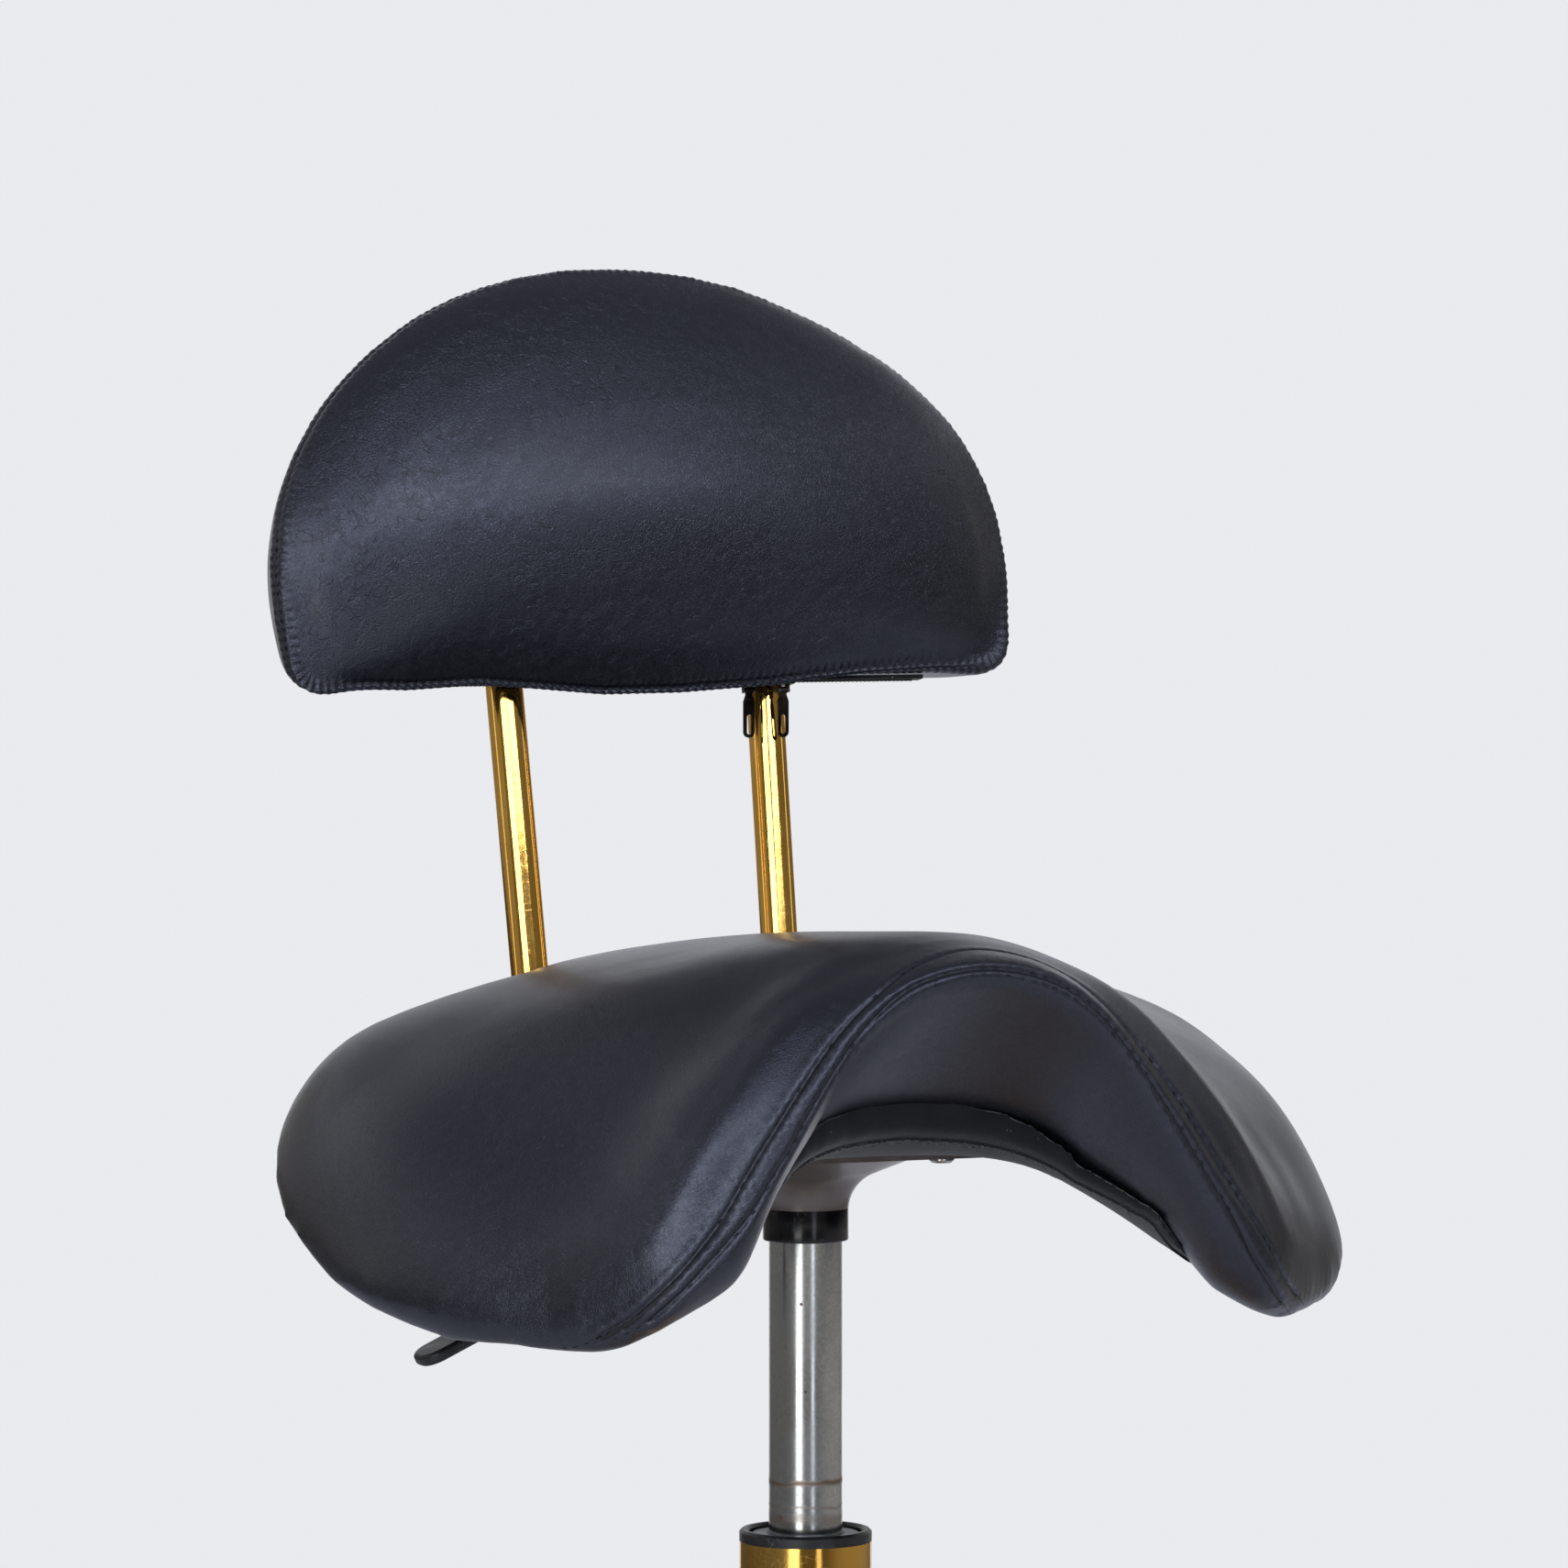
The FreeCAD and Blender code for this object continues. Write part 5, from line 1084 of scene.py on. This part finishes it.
def sag_backrest(piece):
    """Lets the front edge hang a little, and draws the lower corners to a point."""
    points = points_of(piece)
    x, y, z = in_backrest(points).T
    depth = np.interp(x, np.array(SAG_PLACES) * MM, np.array(SAG_DEPTHS) * MM)
    low = smooth_step((SAG_TOP - z) / SAG_FADE)
    front = smooth_step((-y - SAG_FRONT) / SAG_FRONT_FADE)
    down = depth * low * front
    out = np.zeros(len(points))
    for side, pull, drop in CORNERS:
        away = np.sqrt((x - side * CORNER_SIDE) ** 2 + ((y + CORNER_FRONT) * 0.8) ** 2
                       + (z - CORNER_RISE) ** 2)
        out += side * pull * bell(away, CORNER_REACH)
        down = down + drop * bell(away, CORNER_REACH)
    set_points(piece, points - BACK_UP * down[:, None] + SIDEWAYS * out[:, None])


BACK_PITCH = 3.6 * MM
BACK_GROOVE, BACK_GROOVE_WIDTH = 1.1 * MM, 1.2 * MM
BACK_PUCKER, BACK_PUCKER_SPREAD = 0.3 * MM, 5.0 * MM
EDGE_SPLITS = 160
EDGE_SIGHT = 0.3

back_cover = padded_skin("back_cushion", "back_cover", 4 * MM, 0.6 * MM,
                         ("back_board", "post_left", "post_right", "zip_strip",
                          "zip_slider_left", "zip_slider_right"))
crown_backrest(back_cover)
shape_outline(back_cover)
sag_backrest(back_cover)
surface = surface_of(back_cover)
edge = []
middle = from_backrest(0, -EDGE_FORWARD, BACK_MIDDLE)
for turn in np.linspace(0, TURN, EDGE_SPLITS, endpoint=False):
    outer = from_backrest(EDGE_SIGHT * math.cos(turn), -EDGE_FORWARD,
                          BACK_MIDDLE + EDGE_SIGHT * math.sin(turn))
    edge.append(surface.ray_cast(outer, (middle - outer).normalized())[0])
edge_row = eased(laid_on(smooth_line(edge, SEAM_STEP, closed=True), surface), 30, closed=True)
sew(back_cover, [edge_row], BACK_GROOVE, BACK_GROOVE_WIDTH, BACK_PUCKER, BACK_PITCH,
    BACK_PUCKER_SPREAD, closed=True)
back_cover.data.shade_smooth()
back_cover.data.materials.append(back_leather)
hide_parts("back_cushion")
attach(back_cover, "seat")

back_stitches = stitches("back_stitches", [edge_row], surface_of(back_cover), black_thread,
                         pitch=BACK_PITCH, length=2.4 * MM, thickness=0.8 * MM, sink=0.15 * MM)
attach(back_stitches, "seat")


# ================================================================ small hard pieces

def open_cylinder(name, splits, radius, low, high):
    """A cylinder's side round the stool's axis, with no ends."""
    bpy.ops.object.select_all(action="DESELECT")
    bpy.ops.mesh.primitive_cylinder_add(vertices=splits, radius=radius, depth=high - low,
                                        end_fill_type="NOTHING", location=(0, 0, (high + low) / 2))
    piece = bpy.context.object
    piece.name = name
    bpy.ops.object.transform_apply(location=True, rotation=False, scale=False)
    return piece


# The collar round the lift: a turned sleeve with rounded rims, as tall as the photograph shows it.
COLLAR_SHOWN = 12.8 * MM
COLLAR_PROUD = 0.3 * MM
COLLAR_WALL = 2.6 * MM
COLLAR_ROUNDING = 0.7 * MM
collar_low, collar_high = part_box("socket_collar")
lift_collar = open_cylinder("lift_collar", 96, (collar_high.x - collar_low.x) / 2 + COLLAR_PROUD,
                            collar_low.z, collar_low.z + COLLAR_SHOWN)
apply_modifier(lift_collar, "SOLIDIFY", thickness=COLLAR_WALL, offset=-1.0, use_even_offset=True)
apply_modifier(lift_collar, "BEVEL", width=COLLAR_ROUNDING, segments=3, limit_method="ANGLE",
               angle_limit=math.radians(50))
pick_only(lift_collar)
bpy.ops.object.shade_smooth_by_angle(angle=math.radians(50))
lift_collar.data.materials.append(collar_black)
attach(lift_collar, "seat")
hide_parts("socket_collar")

# Staples hold the lining round its edge, in from the rim, on the under side.
BELOW_SEAT = 0.38
LINING_HALF_WIDTH, LINING_HALF_DEPTH = 0.152, 0.128
STAPLE_INSET = 7 * MM
STAPLE_FRONT = -62 * MM
lining_surface = surface_of(under_lining)
lining_low, lining_high = points_of(under_lining).min(0), points_of(under_lining).max(0)
lining_middle = (lining_low + lining_high) / 2


def lining_above(x, y):
    """The place on the lining's under side above a place below the seat, or None past its rim."""
    return lining_surface.ray_cast(Vector((x, y, BELOW_SEAT)), Vector((0, 0, 1)))[0]


staple_row = []
for turn in np.linspace(0, TURN, 240, endpoint=False):
    across, along = math.cos(turn), math.sin(turn)
    longer = max(abs(across), abs(along))
    for share in np.linspace(1.0, 0.6, 60):
        x = lining_middle[0] + share * LINING_HALF_WIDTH * across / longer
        y = lining_middle[1] + share * LINING_HALF_DEPTH * along / longer
        rim = lining_above(x, y)
        if rim is not None:
            staple_row.append(lining_above(x - STAPLE_INSET * across, y - STAPLE_INSET * along) or rim)
            break
staple_row = np.array(staple_row)
staple_row = np.roll(staple_row, -int(np.argmin(staple_row[:, 1])), axis=0)
staple_row = eased(staple_row[staple_row[:, 1] > STAPLE_FRONT], 2)
lining_staples = stitches("lining_staples", [staple_row], lining_surface, zinc,
                          pitch=26 * MM, length=10 * MM, thickness=1.1 * MM, sink=-0.1 * MM)
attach(lining_staples, "seat")


TOOTH_SIZE = np.array((0.85, 2.0, 0.9)) * MM
TOOTH_PITCH = 0.9 * MM
TOOTH_STAGGER = 0.45 * MM
TOOTH_SINK = 0.15 * MM
ZIP_END = 4 * MM


def zip_teeth(name):
    """Two rows of interlocking zip teeth under the tape, one tooth copied along the zip."""
    low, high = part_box("zip_strip")
    bpy.ops.object.select_all(action="DESELECT")
    bpy.ops.mesh.primitive_cube_add(size=1.0)
    tooth = bpy.context.object
    bpy.ops.object.mode_set(mode="EDIT")
    bpy.ops.mesh.select_all(action="SELECT")
    bpy.ops.mesh.bevel(offset=0.18, segments=1, affect="EDGES")
    bpy.ops.object.mode_set(mode="OBJECT")
    shape = points_of(tooth) * TOOTH_SIZE
    faces = [list(p.vertices) for p in tooth.data.polygons]
    bpy.data.objects.remove(tooth)
    middle = Vector((0, (low.y + high.y) / 2, (low.z + high.z) / 2))
    local = in_backrest([middle])[0]
    foot = in_backrest(points_of(nodes["zip_strip"]))[:, 2].min()
    points, sides = [], []
    for k, x in enumerate(np.arange(low.x + ZIP_END, high.x - ZIP_END, TOOTH_PITCH)):
        lean = TOOTH_STAGGER if k % 2 else -TOOTH_STAGGER
        first = len(points)
        for px, py, pz in shape:
            points.append(from_backrest(x + px, local[1] + lean + py, foot + pz - TOOTH_SINK))
        sides += [[first + i for i in face] for face in faces]
    return piece_from(name, points, sides, zip_black)


zip_row = zip_teeth("zip_row")
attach(zip_row, "seat")


# ================================================================ camera, floor and light

SENSOR = 36.0
LENS = 178.947
CAMERA_PLACE = (-1.15886, -2.70914, 0.77399)
CAMERA_DROP = 2.467
CAMERA_HEADING = -23

camera_data = bpy.data.cameras.new("camera")
camera_data.sensor_width = SENSOR
camera_data.lens = LENS
camera = bpy.data.objects.new("camera", camera_data)
camera.location = CAMERA_PLACE
camera.rotation_euler = (math.radians(90 - CAMERA_DROP), 0, math.radians(CAMERA_HEADING))
scene.collection.objects.link(camera)
scene.camera = camera

PALE = tint(233, 234, 238)
FLOOR_RADIUS = 2.2
FLOOR_PALENESS = 0.5
FLOOR_FADE = (0.9, 2.1)
FILL_STRENGTH = 0.55


def pale_rays(graph):
    """1 for what the camera, a shiny surface or glass sees, 0 for light on the object."""
    path = graph.add("LightPath").outputs
    seen = graph.plus(graph.plus(path["Is Camera Ray"], path["Is Glossy Ray"]),
                      path["Is Transmission Ray"])
    return graph.add("Clamp", {"Value": seen}).outputs[0]


world = bpy.data.worlds.new("studio")
world.use_nodes = True
scene.world = world
g = Graph(world.node_tree)
g.tree.nodes.clear()
fill = g.add("Background", {"Color": tint(232, 236, 246), "Strength": FILL_STRENGTH}).outputs[0]
backdrop = g.add("Background", {"Color": PALE, "Strength": 1.0}).outputs[0]
g.add("OutputWorld", {"Surface": g.add("MixShader", {0: pale_rays(g), 1: fill, 2: backdrop}).outputs[0]})

bpy.ops.object.select_all(action="DESELECT")
bpy.ops.mesh.primitive_circle_add(vertices=96, radius=FLOOR_RADIUS, fill_type="NGON")
floor = bpy.context.object
floor.name = "floor"
floor_paint, g, shader, place = new_finish("pale floor", Roughness=0.8, Specular_IOR_Level=0.2)
cloud = g.noise(place, 2.5, 3.0)
drive(g, shader, Base_Color=g.mix(cloud, tint(226, 226, 229), tint(231, 231, 234)))
away = g.add("VectorMath", {0: place}, operation="LENGTH").outputs["Value"]
glow = g.add("Emission", {"Color": PALE}).outputs[0]
edge_share = g.spread(away, *FLOOR_FADE)
seen = g.add("LightPath").outputs["Is Camera Ray"]
pale_share = g.maths("MAXIMUM", edge_share, g.times(seen, FLOOR_PALENESS))
faded = g.add("MixShader", {0: pale_share, 1: shader.outputs[0], 2: glow}).outputs[0]
g.tree.links.new(faded, g.tree.nodes["Material Output"].inputs["Surface"])
floor.data.materials.append(floor_paint)


# Directions round the stool are given from the camera's own side, positive to its right.
CAMERA_TURN = math.atan2(camera.location.y, camera.location.x)
LAMP_LEVEL = 0.72


def around(turn, rise, far):
    """A place seen from the stool at this turn from the camera's side, this many degrees up."""
    flat = far * math.cos(math.radians(rise))
    angle = CAMERA_TURN + math.radians(turn)
    return Vector((flat * math.cos(angle), flat * math.sin(angle),
                   LAMP_LEVEL + far * math.sin(math.radians(rise))))


def window(name, turn, rise, far, width, height, glow, colour):
    """A soft rectangular lamp of this glow in a reflection, which the camera doesn't see."""
    data = bpy.data.lights.new(name, "AREA")
    data.shape = "RECTANGLE"
    data.size, data.size_y = width, height
    data.energy = glow * math.pi * width * height
    data.color = colour
    light = bpy.data.objects.new(name, data)
    light.location = around(turn, rise, far)
    way = Vector((0, 0, LAMP_LEVEL)) - light.location
    light.rotation_euler = way.to_track_quat("-Z", "Y").to_euler()
    light.visible_camera = False
    scene.collection.objects.link(light)
    return light


SKY = (0.80, 0.85, 1.0)
window("window_left", -18, 15, 3.0, 1.75, 0.60, 6.2, SKY)
window("window_right", 27, 23, 3.0, 2.3, 0.52, 7.4, SKY)
for strip in (window("low_strip", -20, -14, 1.25, 0.36, 0.62, 3.2, (0.96, 1.0, 0.95)),
              window("low_soft_strip", 23, -14, 1.25, 0.16, 0.62, 1.5, (0.84, 0.9, 1.0))):
    strip.visible_diffuse = False


def glow_paint(name):
    """An empty material, for a card that only glows, and its graph."""
    paint = bpy.data.materials.new(name)
    paint.use_nodes = True
    graph = Graph(paint.node_tree)
    graph.tree.nodes.clear()
    return paint, graph


def put_up(card, paint, graph, colour, strength):
    """Paints a card and keeps it to reflections: only shiny surfaces see it."""
    light = graph.add("Emission", {"Color": colour, "Strength": strength}).outputs[0]
    graph.add("OutputMaterial", {"Surface": light})
    card.data.materials.append(paint)
    card.visible_camera = False
    card.visible_diffuse = False
    card.visible_transmission = False
    card.visible_shadow = False


def reflector(name, far, low, high, first, last, glow_low, glow_high, patches=()):
    """A curved grey card that gives shiny surfaces the room's darker sides."""
    card = open_cylinder(name, 144, far, low, high)
    turns = []
    for face in card.data.polygons:
        turn = math.degrees(math.atan2(face.center.y, face.center.x) - CAMERA_TURN)
        turns.append((turn + 180) % 360 - 180)
    edit_faces(card, [not first < turn < last for turn in turns])
    bpy.ops.mesh.delete(type="FACE")
    bpy.ops.object.mode_set(mode="OBJECT")
    paint, g = glow_paint(name + " card")
    place = g.add("TexCoord").outputs["Object"]
    strength = g.spread(g.height(place), low, high, glow_low, glow_high)
    flat = g.add("VectorMath", {0: g.stretched(place, 1, 1, 0)}, operation="NORMALIZE").outputs["Vector"]
    for middle, half, extra in patches:
        angle = CAMERA_TURN + math.radians(middle)
        facing = g.add("VectorMath", {0: flat, 1: (math.cos(angle), math.sin(angle), 0)},
                       operation="DOT_PRODUCT").outputs["Value"]
        strength = g.plus(strength, g.spread(facing, math.cos(math.radians(half)), 1.0, 0.0, extra))
    put_up(card, paint, g, WARM_GREY, strength)


WARM_GREY = (1.0, 0.96, 0.90, 1.0)
CARD_FAR = 1.35
STRIP_FAR = 3.3
ROOM_FAR = 3.4
reflector("low_card", CARD_FAR, -0.05, 0.31, -155, 150, 0.03, 0.16, [(95, 65, 0.22)])
reflector("middle_card", CARD_FAR, 0.31, 0.42, -155, 150, 0.17, 0.19, [(-3, 60, 0.42)])
reflector("upper_card", CARD_FAR, 0.42, 0.54, -155, 150, 0.10, 0.08)
reflector("left_strip", STRIP_FAR, 0.4, 1.9, -91, -85, 1.2, 1.2)
reflector("right_strip", STRIP_FAR, 0.4, 1.9, 101, 107, 1.2, 1.2)
reflector("room_card_left", ROOM_FAR, -0.3, 2.2, -155, -52, 0.26, 0.36)
reflector("room_card_front", ROOM_FAR, -0.3, 2.9, -52, 62, 0.08, 0.25)
reflector("room_card_right", ROOM_FAR, -0.3, 2.2, 62, 152, 0.14, 0.20)

CEILING_RADIUS, CEILING_HEIGHT = 3.2, 2.9
bpy.ops.object.select_all(action="DESELECT")
bpy.ops.mesh.primitive_circle_add(vertices=64, radius=CEILING_RADIUS, fill_type="NGON",
                                  location=(0, 0, CEILING_HEIGHT))
ceiling_card = bpy.context.object
ceiling_card.name = "ceiling_card"
bpy.ops.object.transform_apply(location=True, rotation=False, scale=False)
put_up(ceiling_card, *glow_paint("ceiling card"), tint(236, 238, 248), 0.32)

# A dark ring on the floor.
RING_RADIUS, RING_SPREAD = 0.62, 2.17
RING_PLACE = (0, 0, 0.012)
bpy.ops.object.select_all(action="DESELECT")
bpy.ops.mesh.primitive_circle_add(vertices=96, radius=RING_RADIUS, fill_type="NOTHING",
                                  location=RING_PLACE)
floor_ring = bpy.context.object
floor_ring.name = "floor_ring"
bpy.ops.object.mode_set(mode="EDIT")
bpy.ops.mesh.select_all(action="SELECT")
bpy.ops.mesh.extrude_region_move()
bpy.ops.transform.resize(value=(RING_SPREAD, RING_SPREAD, 1.0), center_override=RING_PLACE)
bpy.ops.object.mode_set(mode="OBJECT")
put_up(floor_ring, *glow_paint("dark ring"), WARM_GREY, 0.03)

scene.view_settings.view_transform = "Standard"
